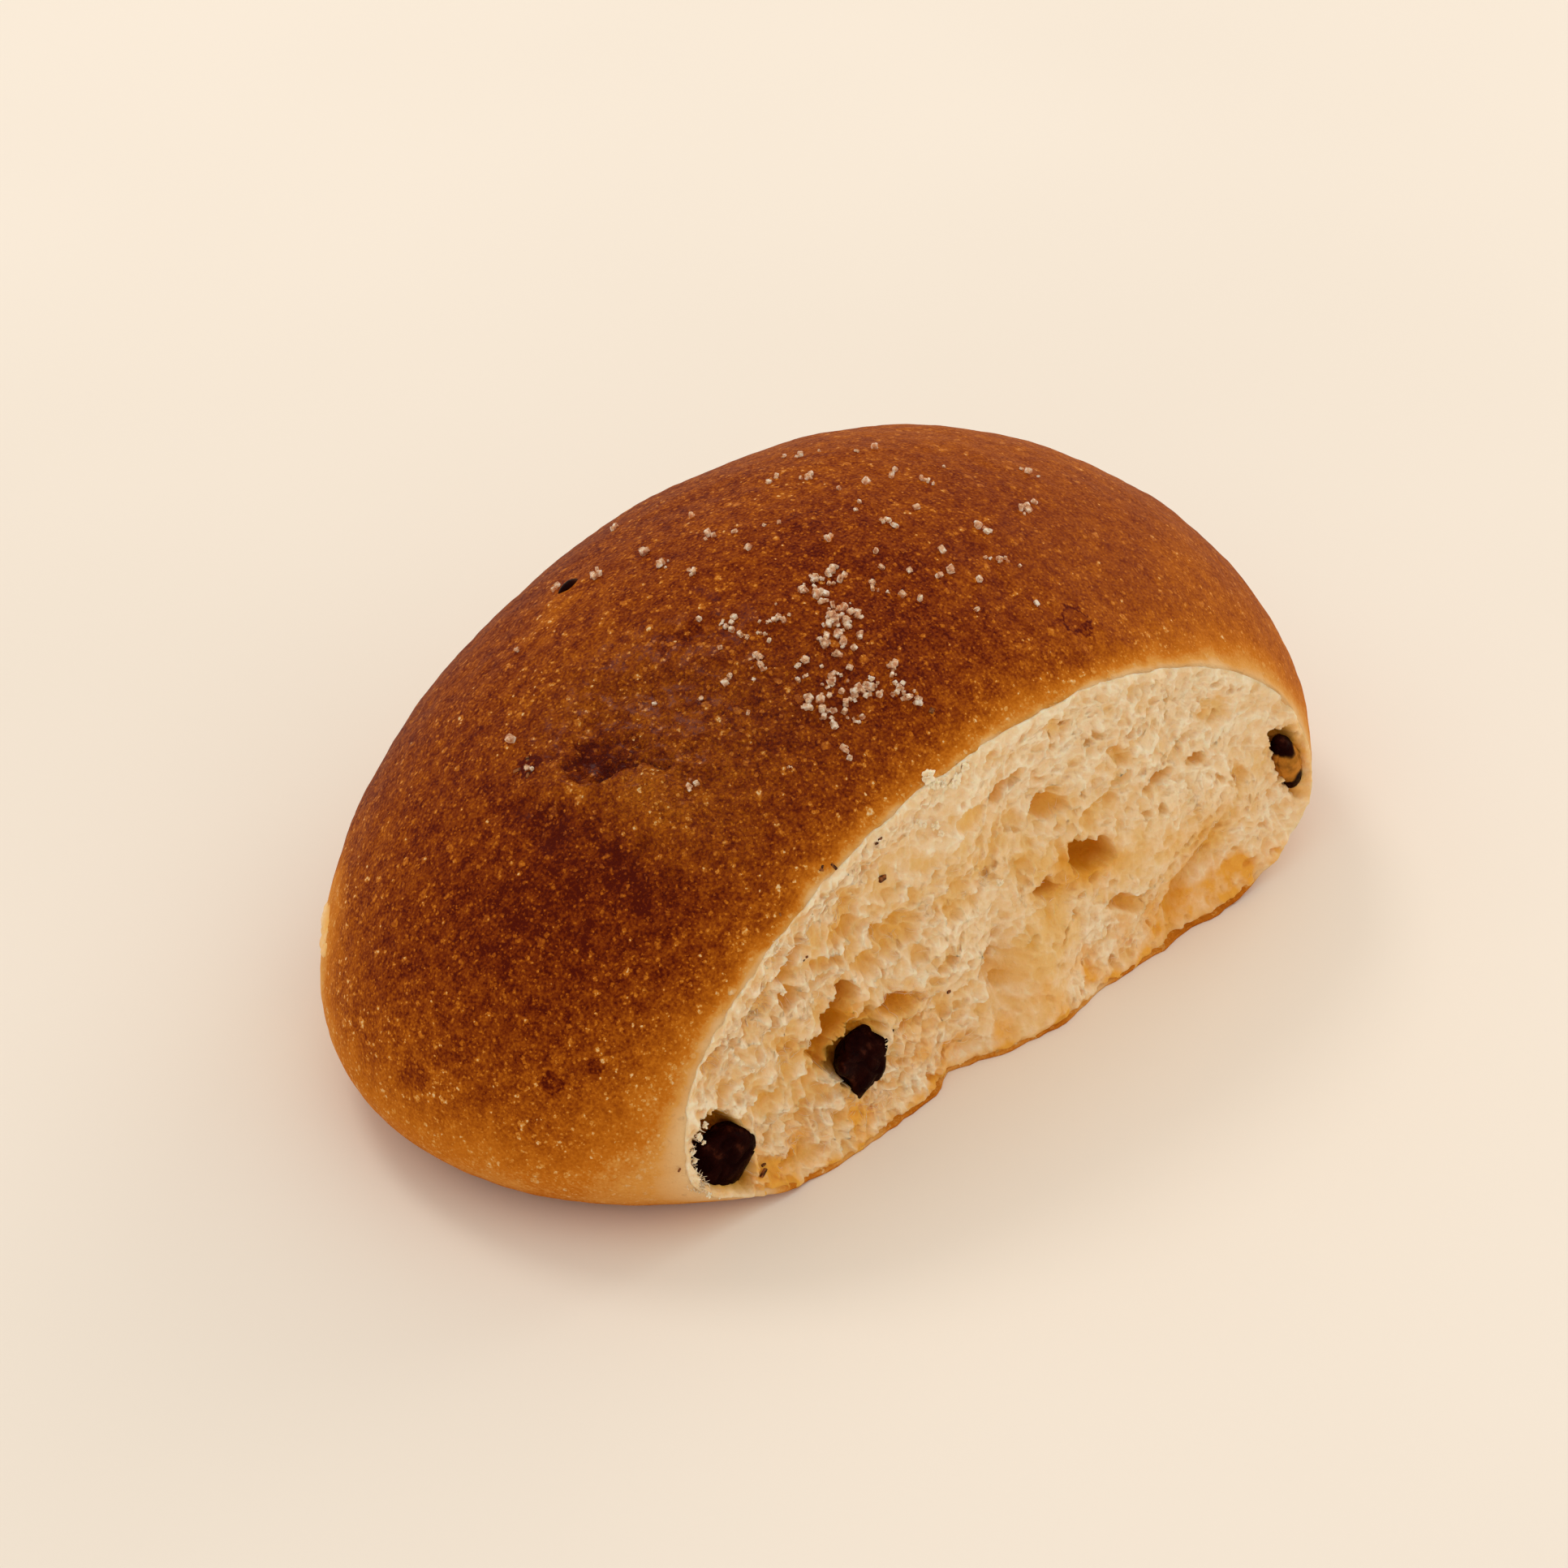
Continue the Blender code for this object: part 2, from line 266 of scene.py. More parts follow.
def mesh_piece(name, points, face_sets, finish):
    """A piece from points in the bun's own axes and arrays of faces, each array with one number of sides."""
    mesh = bpy.data.meshes.new(name)
    points = ((np.asarray(points) + MIDDLE) * METRE).astype(np.float32)
    corners = np.concatenate([faces.ravel() for faces in face_sets]).astype(np.int32)
    totals = np.concatenate([np.full(len(faces), faces.shape[1]) for faces in face_sets]).astype(np.int32)
    starts = np.concatenate([[0], np.cumsum(totals)[:-1]]).astype(np.int32)
    mesh.vertices.add(len(points))
    mesh.vertices.foreach_set("co", points.ravel())
    mesh.loops.add(len(corners))
    mesh.loops.foreach_set("vertex_index", corners)
    mesh.polygons.add(len(totals))
    mesh.polygons.foreach_set("loop_start", starts)
    mesh.polygons.foreach_set("loop_total", totals)
    mesh.update(calc_edges=True)
    mesh.validate()
    mesh.shade_smooth()
    return placed_piece(name, mesh, finish)


def mark(piece, **fields):
    """Stores fields that the finish reads, each with a value for every point or one for them all."""
    for name, values in fields.items():
        field = piece.data.attributes.new(name, "FLOAT", "POINT")
        values = np.broadcast_to(np.asarray(values, dtype=np.float32), len(piece.data.vertices))
        field.data.foreach_set("value", np.ascontiguousarray(values))


def ring_faces(first, rings, around):
    """Four-sided faces between rings of points, from the point numbered first."""
    i = np.arange(around)
    j = (i + 1) % around
    starts = (first + np.arange(rings - 1) * around)[:, None]
    corners = [starts + i, starts + around + i, starts + around + j, starts + j]
    return np.stack([np.broadcast_to(c, (rings - 1, around)) for c in corners], axis=-1).reshape(-1, 4)


def fan_faces(tip, first, around, turned):
    """Triangles from a tip to a ring of points."""
    i = first + np.arange(around)
    j = first + (np.arange(around) + 1) % around
    tips = np.full(around, tip)
    return np.stack([tips, j, i] if turned else [tips, i, j], axis=-1)


def closed_rings(rings, around):
    """Faces of a closed form: a tip, then rings of points one after another, then a second tip."""
    last = 1 + (rings - 1) * around
    tips = [fan_faces(0, 1, around, False), fan_faces(1 + rings * around, last, around, True)]
    return [ring_faces(1, rings, around), np.concatenate(tips)]


# ---------------------------------------------------------------- crust

CRUST_AROUND = 600
CRUST_RINGS = 158
RINGS_CROWD = 0.74
BASE_THINNING = 0.22
LIP_THICKNESS = 0.5
RECESS_DEPTH = 7.5

# Folds of the crust: middle x and y, direction in degrees, half length, half width, depth, extra browning
# The extra browning is partly the crust's own colour, partly painted shade in sunk folds and painted light
# on raised ones.
FOLDS = (
    (-29.9, -3.4, -70.0, 4.0, 1.0, 1.0, 0.24),
    (-29.0, -1.2, -70.0, 5.0, 2.6, 0.4, 0.06),
    (-31.7, -2.0, -72.0, 2.6, 0.4, 0.5, 0.22),
    (-29.0, -5.8, -64.0, 3.2, 0.4, 0.5, 0.24),
    (-30.4, 0.4, -82.0, 2.2, 0.4, 0.4, 0.20),
    (-28.0, -2.2, -58.0, 3.0, 0.5, 0.4, 0.14),
    (-26.8, -7.6, -75.0, 2.6, 0.4, 0.4, 0.16),
    (-25.0, -1.0, -62.0, 9.5, 6.0, 1.1, 0.00),
    (-33.8, -1.6, -62.0, 4.8, 1.6, -0.8, -0.16),
    (-31.7, -10.0, -94.0, 6.5, 1.8, -1.2, -0.17),
    (-36.6, -1.0, 88.0, 4.2, 1.7, 0.8, 0.22),
    (-35.4, -12.0, -65.0, 4.5, 2.3, 1.0, 0.20),
    (-41.5, -8.0, -78.0, 10.0, 4.0, 0.5, 0.12),
    (-16.8, -0.6, -55.0, 2.8, 0.9, 0.4, 0.14),
    (-18.2, 16.6, 15.0, 3.6, 2.6, -0.3, -0.26),
    (-14.0, -14.0, -60.0, 14.0, 7.0, 0.3, 0.05),
)
FOLDS_END_LOW, FOLDS_END_HIGH = 14.0, 26.0

CREASE_TURN, CREASE_STRETCH = -62.0, 2.6

# Where the skin is crinkled: middle x and y, direction in degrees, half length, half width, strength
CRINKLED = (
    (-25.0, -2.0, -60.0, 12.0, 8.5, 1.0),
    (-18.0, -12.0, -10.0, 12.0, 8.0, 0.6),
    (-31.0, -10.0, -67.0, 10.0, 4.0, 0.5),
)

# Browning, from 0 pale to 1 dark, at heights up the untorn sides
BAKED_HEIGHTS = (0.0, 1.5, 4.0, 7.0, 10.0, 12.5, 15.6, 18.4, 23.0)
BAKED_AT = (0.40, 0.36, 0.24, 0.27, 0.38, 0.56, 0.72, 0.86, 1.0)
RIM_FADE = 2.3
TOP_BROWNING = 0.66

# How much higher browning starts at the near end, and by what share the far end's specks are weaker
NEAR_END_PALER = 0.4
FAR_END_CALMER = 0.35

# The patch low on the near end where a second bun was pulled away, how much paler the crust is beside it,
# and how far that reaches
SCAR_MIDDLE = np.array([-46.2, 21.0, 13.0])
SCAR_HALF_LONG, SCAR_HALF_HIGH = 4.6, 2.1
SCAR_THICKNESS = 0.6
SCAR_PALENESS, SCAR_FADE = 0.72, 3.8


def strayed(x, y):
    """x and y, shifted a little here and there so that folds run unevenly."""
    flat = np.stack([x, y, np.zeros_like(x)], axis=-1)
    away_x = 0.9 * noise(flat, 2.9, 17) + 0.8 * noise(flat, 1.2, 18)
    away_y = 0.9 * noise(flat, 2.9, 19) + 0.8 * noise(flat, 1.2, 20)
    return x + away_x, y + away_y


def on_top(z):
    """From 0, low on the bun, to 1 on its top, where the crust is folded."""
    return rise(z, FOLDS_END_LOW, FOLDS_END_HIGH)


def fold_depth(points):
    """How far the folds sink the crust's skin."""
    a, b = strayed(points[..., 0], points[..., 1])
    return sum(deep * blot(a, b, *where) for *where, deep, _ in FOLDS) * on_top(points[..., 2])


def crinkled(points):
    """From 0 to 1, how crinkled the skin is."""
    x, y, z = points[..., 0], points[..., 1], points[..., 2]
    return np.clip(blots(x, y, CRINKLED), 0, 1) * on_top(z)


def creases(points):
    """Fine parallel wrinkles, from 0 between them to 1 on their crests, along the way the folds run."""
    along, across = along_across(points[..., 0], points[..., 1], CREASE_TURN)
    stretched = np.stack([along / CREASE_STRETCH, across, points[..., 2]], axis=-1)
    return 1 - np.abs(noise(stretched, 1.5, 15)) - 0.5 * np.abs(noise(stretched, 0.8, 16))


def crust_relief(points):
    """How far the crust's skin stands out from the plain body."""
    out = 0.22 * noise(points, 13.0, 1) + 0.12 * noise(points, 5.0, 2)
    out = out + 0.06 * noise(points, 1.9, 3) + 0.04 * noise(points, 1.0, 4)
    lumps = 0.16 * noise(points, 1.7, 5) + 0.12 * noise(points, 1.1, 6)
    return out + crinkled(points) * (0.26 * creases(points) + lumps)


def browning(points, from_tear):
    """From 0, pale, to 1, dark brown, with painted shade in the sunk folds and painted light on the raised
    ones.
    """
    x, y, z = points[..., 0], points[..., 1], points[..., 2]
    fade = RIM_FADE * (1 + 1.6 * rise(x, 12.0, 42.0) + 0.7 * rise(-x, 30.0, 42.0))
    inward = np.maximum(from_tear + 0.3 * noise(points, 2.5, 11) + 0.2 * noise(points, 0.9, 25) + 0.25, 0.0)
    rim = 1 - np.exp(-((inward / fade) ** 1.15))
    base = 0.55 + 0.35 * rise(x, 8.0, 24.0) + 0.45 * noise(points, 3.4, 22)
    rim = np.maximum(rim, base * (1 - rise(z, 0.4, 1.6)))
    height = z - NEAR_END_PALER * rise(-x, 40.0, 50.0) + 1.3 * noise(points, 6.0, 12)
    side = np.interp(height, BAKED_HEIGHTS, BAKED_AT)
    baked_and_shaded = TOP_BROWNING * rim * side
    # Painted shade and light: sunk folds are browned darker and raised ones paler, on top of their own
    # colour.
    fold_shade_weight = on_top(z) * rise(from_tear, 2.0, 6.0)
    fold_shade_weight = fold_shade_weight * (1 + 0.5 * noise(points, 1.5, 23) + 0.4 * noise(points, 0.9, 24))
    a, b = strayed(x, y)
    baked_and_shaded = baked_and_shaded + fold_shade_weight * sum(extra * blot(a, b, *where) for *where, _, extra in FOLDS)
    from_scar = np.linalg.norm((points - SCAR_MIDDLE) / np.array([1.0, 1.0, 1.3]), axis=-1) - SCAR_HALF_LONG
    from_scar = np.maximum(from_scar + 0.6 * noise(points, 2.5, 21), 0.0)
    baked_and_shaded = baked_and_shaded * (1 - SCAR_PALENESS * np.exp(-from_scar / SCAR_FADE))
    baked_and_shaded = baked_and_shaded - (0.1 * rise(x, -10.0, 20.0) + 0.05 * rise(x, 26.0, 40.0)) * rise(baked_and_shaded, 0.3, 0.6)
    baked_and_shaded = baked_and_shaded - 0.06 * rise(y, -6.0, 8.0) * rise(z, 20.0, 34.0)
    return baked_and_shaded + (0.05 * noise(points, 9.0, 13) + 0.04 * noise(points, 2.6, 14)) * rise(baked_and_shaded, 0.0, 0.3)


def ring_normals(points, rings):
    """Normals of a sheet of rings that close around."""
    sheet = points.reshape(rings, -1, 3)
    around = np.roll(sheet, -1, axis=1) - np.roll(sheet, 1, axis=1)
    return normalized(np.cross(around, np.gradient(sheet, axis=0))).reshape(-1, 3)


def rim_wander(points):
    """How far the torn edge of the crust strays in and out."""
    return 0.22 * noise(points, 2.2, 7) + 0.16 * noise(points, 0.8, 8)


def make_crust(finish):
    around = rim_angles(CRUST_AROUND, BASE_THINNING)
    tear = angle_of_tear(around)
    shares = (np.arange(1, CRUST_RINGS + 1) / CRUST_RINGS) ** RINGS_CROWD
    rays = np.concatenate([direction(around, tear * share) for share in shares])
    body = surface_from_heart(rays)
    normal = ring_normals(body, CRUST_RINGS)
    from_tear = body[:, 1] - torn_y(body[:, 0], body[:, 2])
    skin = body + normal * (crust_relief(body) * rise(body[:, 2], 0.4, 3.0))[:, None]
    skin[:, 2] -= fold_depth(body)
    skin[:, 2] = np.maximum(skin[:, 2], 0.0)
    rim = skin[-CRUST_AROUND:]
    low = 1 - rise(rim[:, 2], 0.3, 2.0)
    rim[:, 1] += rim_wander(rim) - low * 0.15

    sideways = normal[-CRUST_AROUND:] * LIP_THICKNESS
    turned = rim - sideways * 0.5 - np.array([0.0, 0.05, 0.0])
    inner = rim - sideways
    deep = inner + np.array([0.0, RECESS_DEPTH, 0.0])
    half = deep * np.array([0.5, 1.0, 0.5]) + np.array([0.0, 0.0, HEART[2] * 0.5])
    back = surface_from_heart(np.array([[0.0, 1.0, 0.0]]))
    floor_middle = np.array([[0.0, float(deep[:, 1].mean()), HEART[2]]])
    points = np.concatenate([back, skin, turned, inner, deep, half, floor_middle])
    piece = mesh_piece("crust", points, closed_rings(CRUST_RINGS + 4, CRUST_AROUND), finish)
    baked_and_shaded = browning(body, from_tear)
    lip = np.full(len(points) - len(body) - 1, 0.0)
    lip[: 2 * CRUST_AROUND] = np.tile(baked_and_shaded[-CRUST_AROUND:], 2)
    mark(
        piece, browning=np.concatenate([[TOP_BROWNING], baked_and_shaded, lip]),
        crinkled=np.concatenate([[0.0], crinkled(body), lip * 0.0]),
        speckled=1 - FAR_END_CALMER * rise(points[:, 0], -5.0, 30.0),
    )
    return piece


def on_crust(x, y):
    """The points of the crust's top that lie above x and y, and the directions straight out there."""
    along, plan = plan_share(x, y)
    tall = WAIST_HEIGHT + (HEIGHT - WAIST_HEIGHT) * (1 - plan**DOME_POWER) ** (1 / DOME_POWER)
    points = np.stack([x, y, tall * (1 + FAR_END_TALLER * along)], axis=-1)
    normal = outward(points)
    skin = points + normal * crust_relief(points)[..., None]
    skin[..., 2] -= fold_depth(points)
    return skin, normal


def seat_on_crust(x, y):
    """The crust's point above x and y, the direction straight out of it, and a turn from +Z to that."""
    skin, out = on_crust(np.array([x]), np.array([y]))
    return skin[0], out[0], Vector(out[0]).to_track_quat("Z", "X").to_matrix()


# ---------------------------------------------------------------- torn crumb

CRUMB_COLUMNS = 470
CRUMB_ROWS = 200
FLAT_STEP = 0.1
FLAT_LOW_X, FLAT_LOW_Z = -48.0, -2.0
FLAT_COLUMNS, FLAT_ROWS = 960, 410
RIM_OVERLAP = 0.12
CRUMB_BACK = 6.6

# Small deep holes here and there: how far apart they lie, and their smallest and largest radius
PORE_SPACING = 2.5
PORE_SMALL, PORE_LARGE = 0.22, 0.55

# Kinds of bubble: spacing, smallest and largest radius, and the coarseness from which it grows
BUBBLES = (
    (4.4, 0.8, 1.4, 0.60),
    (1.6, 0.42, 0.85, 0.26),
    (0.98, 0.26, 0.56, -9.0),
    (0.6, 0.12, 0.26, -9.0),
)
BUBBLE_SINK_LOW, BUBBLE_SINK_HIGH = -0.8, 0.3
HOLLOW_ROUNDNESS = 0.6

# Air holes: middle x and z, turn in degrees, half length, half height, depth
AIR_HOLES = (
    (-22.3, 14.3, 52.0, 3.9, 1.7, 4.8),
    (-14.6, 11.4, -14.0, 3.3, 1.4, 2.0),
    (10.9, 15.6, -24.0, 3.3, 1.7, 3.6),
    (4.8, 14.7, -14.0, 1.9, 0.8, 2.2),
    (6.2, 22.9, -24.0, 2.3, 1.1, 1.9),
    (20.2, 19.6, 0.0, 2.2, 1.0, 1.6),
    (25.2, 19.0, -30.0, 1.2, 0.9, 1.5),
    (0.3, 28.6, 20.0, 2.6, 1.3, 1.7),
    (14.4, 25.2, -40.0, 2.2, 1.0, 1.1),
    (-35.9, 8.9, -57.0, 3.0, 1.2, 4.0),
    (-37.8, 18.2, 0.0, 1.6, 1.3, 1.3),
    (-27.0, 23.0, 55.0, 2.0, 1.1, 1.5),
    (-2.6, 9.8, 20.0, 1.6, 0.9, 1.5),
    (15.5, 7.2, -30.0, 3.0, 1.0, 1.6),
    (31.0, 14.6, 0.0, 1.1, 1.0, 1.0),
    (-8.5, 13.2, 10.0, 1.6, 0.6, 1.0),
    (-13.8, 8.9, -10.0, 2.2, 0.6, 1.0),
    (-21.5, 20.4, -60.0, 1.2, 0.6, 1.1),
)

# Broad open bowls with smooth floors: the same numbers
BOWLS = (
    (-14.3, 19.6, 10.0, 3.0, 2.6, 1.3),
    (6.5, 32.3, -20.0, 2.8, 1.4, 0.8),
    (-20.5, 24.5, 60.0, 3.0, 1.8, 1.0),
    (-31.5, 21.0, 40.0, 2.6, 1.7, 0.9),
    (-7.5, 20.0, -20.0, 3.0, 1.8, 0.8),
    (-28.5, 13.5, 70.0, 2.6, 1.6, 0.8),
    (12.5, 20.5, 0.0, 2.6, 1.5, 0.9),
    (27.5, 24.0, -30.0, 3.0, 1.6, 0.6),
)

# Stretches where the crumb was pressed smooth: middle x and z, turn, half length, half height, strength
PRESSED = (
    (3.2, 4.6, 70.0, 6.5, 3.8, 0.95),
    (19.0, 12.0, -10.0, 7.5, 3.2, 0.8),
    (-10.0, 29.0, 30.0, 7.5, 4.0, 0.75),
    (27.0, 3.4, 10.0, 7.0, 2.4, 0.9),
    (32.0, 22.0, -50.0, 8.0, 4.0, 0.5),
)

# The long groove above the upturned edge of the base: middle x and z, turn, half length, half height, depth
BASE_GROOVE = (24.6, 4.6, 44.0, 5.0, 1.2, 1.7)

# Golden stretches: middle x and z, turn, half length, half height, strength
# Some are toasted crumb; the others are painted shade inside air holes, raisin beds and the groove above the
# base.
GOLDEN_TOAST_AND_SHADE = (
    (38.8, 13.0, -66.0, 5.5, 2.4, 0.9),
    (27.0, 2.2, 10.0, 7.5, 1.5, 1.3),
    (23.5, 6.6, 52.0, 4.5, 0.9, 0.6),
    (10.0, 14.8, -24.0, 3.8, 1.8, 1.6),
    (24.0, 11.5, -10.0, 6.0, 2.0, 0.3),
    (-13.5, 7.6, 0.0, 6.0, 2.0, 0.3),
    (-29.0, 4.6, 10.0, 7.0, 1.6, 0.3),
    (-21.8, 13.0, 52.0, 3.4, 1.5, 1.1),
    (-14.2, 11.6, -14.0, 3.0, 1.1, 1.2),
    (5.2, 14.4, -14.0, 1.8, 0.8, 1.2),
    (-35.6, 8.2, -57.0, 3.0, 1.2, 0.8),
)

# Stretches of yellower crumb: middle x and z, turn, half length, half height, and the depth they pass for
YELLOWER = (
    (3.0, 8.0, 70.0, 10.0, 5.0, 0.55),
    (14.0, 13.5, -15.0, 11.0, 3.6, 0.45),
    (-13.0, 10.0, -10.0, 8.0, 3.0, 0.40),
    (26.0, 8.0, 30.0, 9.0, 3.0, 0.60),
    (-2.0, 22.0, -25.0, 12.0, 3.5, 0.35),
    (-27.0, 12.0, 40.0, 6.0, 3.0, 0.20),
)

# Raisins in the torn side: name, middle x and z, depth, half sizes, turns in degrees
TORN_RAISINS = (
    ("raisin_near_end", -36.9, 5.6, 2.4, (4.1, 2.6, 4.5), (10.0, 30.0, -8.0)),
    ("raisin_middle", -19.2, 7.4, 1.9, (3.9, 2.3, 3.7), (-12.0, -38.0, 14.0)),
    ("raisin_far_end", 38.2, 12.2, 1.2, (1.9, 1.8, 5.3), (5.0, -24.0, 0.0)),
)

# The open beds in which they lie: middle x and z, turn in degrees, half length, half height, depth
RAISIN_BEDS = (
    (-37.9, 7.9, -62.0, 5.5, 3.2, 5.6),
    (-20.2, 9.4, 74.0, 4.1, 2.7, 3.4),
    (-24.0, 11.3, -47.0, 2.6, 1.4, 3.4),
    (37.9, 12.8, -66.0, 6.0, 1.8, 2.6),
)


def flat(x, z):
    """Points at x and z, with y at 0."""
    return np.stack([x, np.zeros_like(x), z], axis=-1)


def from_flat(field, x, z):
    """The values of a flat field at x and z."""
    column = np.clip((x - FLAT_LOW_X) / FLAT_STEP, 0, FLAT_COLUMNS - 1.001)
    row = np.clip((z - FLAT_LOW_Z) / FLAT_STEP, 0, FLAT_ROWS - 1.001)
    i, j = column.astype(int), row.astype(int)
    s, t = column - i, row - j
    near = field[i, j] * (1 - s) + field[i + 1, j] * s
    far = field[i, j + 1] * (1 - s) + field[i + 1, j + 1] * s
    return near * (1 - t) + far * t


def scattered(spacing, rng):
    """Points spread unevenly over the flat field."""
    columns = int(FLAT_COLUMNS * FLAT_STEP / spacing)
    rows = int(FLAT_ROWS * FLAT_STEP / spacing)
    grid = np.stack(np.meshgrid(np.arange(columns), np.arange(rows), indexing="ij"), axis=-1).reshape(-1, 2)
    middles = (grid + 0.5 + rng.uniform(-0.5, 0.5, grid.shape)) * spacing
    return middles + np.array([FLAT_LOW_X, FLAT_LOW_Z])


def cut_open(depth, x, z, spots, radii, sinks, rng):
    """Deepens a flat field by bubbles, each sunk below the tear by a share of its radius."""
    for (mid_x, mid_z), radius, sink in zip(spots, radii, sinks):
        turn, longer = rng.uniform(0, math.pi), rng.uniform(1.0, 1.9)
        reach = radius * longer
        first = int(max(0, (mid_x - reach - FLAT_LOW_X) / FLAT_STEP))
        last = int(max(0, (mid_x + reach - FLAT_LOW_X) / FLAT_STEP)) + 2
        low = int(max(0, (mid_z - reach - FLAT_LOW_Z) / FLAT_STEP))
        high = int(max(0, (mid_z + reach - FLAT_LOW_Z) / FLAT_STEP)) + 2
        window = (slice(first, last), slice(low, high))
        dx, dz = x[window] - mid_x, z[window] - mid_z
        along = (dx * math.cos(turn) + dz * math.sin(turn)) / longer
        across = dz * math.cos(turn) - dx * math.sin(turn)
        inside = np.maximum(radius**2 - along**2 - across**2, 0.0)
        cut = np.where(inside > 0, radius * sink + np.sqrt(inside), 0.0)
        np.maximum(depth[window], cut, out=depth[window], casting="same_kind")


def bubbles(x, z, coarseness):
    """How deep bubbles of air reach into the crumb where the tear cut them open."""
    rng = np.random.default_rng(5)
    depth = np.zeros(x.shape, dtype=np.float32)
    for spacing, smallest, largest, from_grade in BUBBLES:
        spots = scattered(spacing, rng)
        spots = spots[from_flat(coarseness, spots[:, 0], spots[:, 1]) >= from_grade]
        radii = rng.uniform(smallest, largest, len(spots))
        sinks = rng.uniform(BUBBLE_SINK_LOW, BUBBLE_SINK_HIGH, len(spots))
        cut_open(depth, x, z, spots, radii, sinks, rng)
    return depth


def pores(x, z):
    """Small deep holes here and there."""
    rng = np.random.default_rng(6)
    depth = np.zeros(x.shape, dtype=np.float32)
    spots = scattered(PORE_SPACING, rng)
    radii = rng.uniform(PORE_SMALL, PORE_LARGE, len(spots))
    cut_open(depth, x, z, spots, radii, rng.uniform(0.0, 1.0, len(spots)), rng)
    return depth


def hollows(x, z, places):
    """How deep round-bottomed oval hollows reach, each with a depth after its place."""
    depth = np.zeros_like(x)
    for *where, deep in places:
        depth = np.maximum(depth, deep * np.clip(1 - oval_share(x, z, *where), 0, 1) ** HOLLOW_ROUNDNESS)
    return depth


def torn_fields():
    """Flat fields of the torn side: its depth into the bun, the painted shade and tone of its colour, and
    where a crest stands.
    """
    x = FLAT_LOW_X + FLAT_STEP * np.arange(FLAT_COLUMNS)
    z = FLAT_LOW_Z + FLAT_STEP * np.arange(FLAT_ROWS)
    x, z = np.meshgrid(x, z, indexing="ij")
    points = flat(x, z)
    inside = -outside_body(np.stack([x, torn_y(x, z), z], axis=-1))
    wave_x, wave_z = noise(points, 1.8, 42), noise(points, 1.8, 44)
    fray_x, fray_z = noise(points, 0.55, 43), noise(points, 0.55, 45)
    wx, wz = x + 0.45 * wave_x + 0.2 * fray_x, z + 0.45 * wave_z + 0.2 * fray_z
    towards_far = rise(x, -24.0, 2.0)
    coarseness = 0.52 + 0.5 * noise(points, 7.0, 46) - 0.4 * (1 - rise(inside, 0.8, 4.0))
    coarseness = coarseness - 0.3 * towards_far
    pressed = np.clip(blots(x, z, PRESSED), 0, 1)
    cells = bubbles(wx, wz, coarseness) * (1 - 0.7 * pressed) * (1.3 - 0.5 * towards_far)
    cells = np.maximum(cells, pores(wx, wz) * (1 - 0.6 * pressed))

    ragged_x, ragged_z = x + 0.45 * wave_x + 0.5 * fray_x, z + 0.45 * wave_z + 0.5 * fray_z
    holes = np.maximum(hollows(wx, wz, AIR_HOLES + BOWLS), hollows(ragged_x, ragged_z, RAISIN_BEDS))
    groove = blot(x, z, *BASE_GROOVE[:5]) * BASE_GROOVE[5]
    softened = 1 - 0.55 * rise(holes, 0.3, 1.6)

    edge = rise(inside, 0.05, 1.3)
    rough = 0.42 * noise(points, 4.6, 47) + 0.24 * noise(points, 1.9, 48)
    strands = flat(x, z * 0.6 + x * 0.22)
    films = np.exp(-((noise(strands, 1.2, 49) / 0.15) ** 2))
    thin_films = np.exp(-((noise(strands, 0.7, 50) / 0.17) ** 2))
    fibrous = (0.26 * films + 0.15 * thin_films - 0.04) * (1 - 0.35 * towards_far)
    rough = rough * (1 - 0.4 * pressed) - fibrous * (1 - 0.7 * pressed)
    lowered = 0.75 * rise(inside, 0.7, 4.0) - 0.14 * (1 - rise(inside, 0.5, 1.4))
    cells = cells * softened * (0.3 + 0.7 * edge)
    # Painted shade: the deeper a cell, hole or the groove above the base, the darker and more golden the
    # crumb is coloured.
    hollow = cells + holes * edge + 0.8 * groove
    depth = lowered + rough * (0.15 + 0.85 * edge) + cells + holes * edge + groove
    crest = (1 - rise(cells, 0.05, 0.3)) * softened * (1 - pressed)
    yellow = blots(wx, wz, YELLOWER)
    # Random tone and the yellower stretches on top, and painted highlight: the thin films are coloured
    # paler.
    tone = hollow + 0.16 * (1 + noise(points, 1.3, 53)) - 1.4 * fibrous
    tone = tone + yellow * (1 + 0.6 * noise(points, 2.6, 55))
    return {"depth": depth, "hollow": tone, "crest": crest, "inside": inside}


def crumb_rim(count):
    """Points evenly along the rim of the torn side, just inside the thickness of the crust."""
    around = rim_angles(count)
    rim = surface_from_heart(direction(around, angle_of_tear(around)))
    proud = crust_relief(rim) * rise(rim[:, 2], 0.4, 3.0)
    return rim + outward(rim) * (proud - RIM_OVERLAP)[:, None]


def stretched_grid(rim):
    """A grid of points stretched between four stretches of a rim that starts straight down."""
    count = len(rim)
    corner = CRUMB_COLUMNS // 2
    columns, rows = np.arange(CRUMB_COLUMNS + 1), np.arange(CRUMB_ROWS + 1)
    base, top = rim[(corner - columns) % count], rim[corner + CRUMB_ROWS + columns]
    far, near = rim[corner + rows], rim[(count - corner - rows) % count]
    u = (columns / CRUMB_COLUMNS)[:, None, None]
    v = (rows / CRUMB_ROWS)[None, :, None]
    across = (1 - v) * base[:, None] + v * top[:, None]
    along = (1 - u) * far[None] + u * near[None]
    corners = (1 - u) * ((1 - v) * base[0] + v * top[0]) + u * ((1 - v) * base[-1] + v * top[-1])
    return across + along - corners


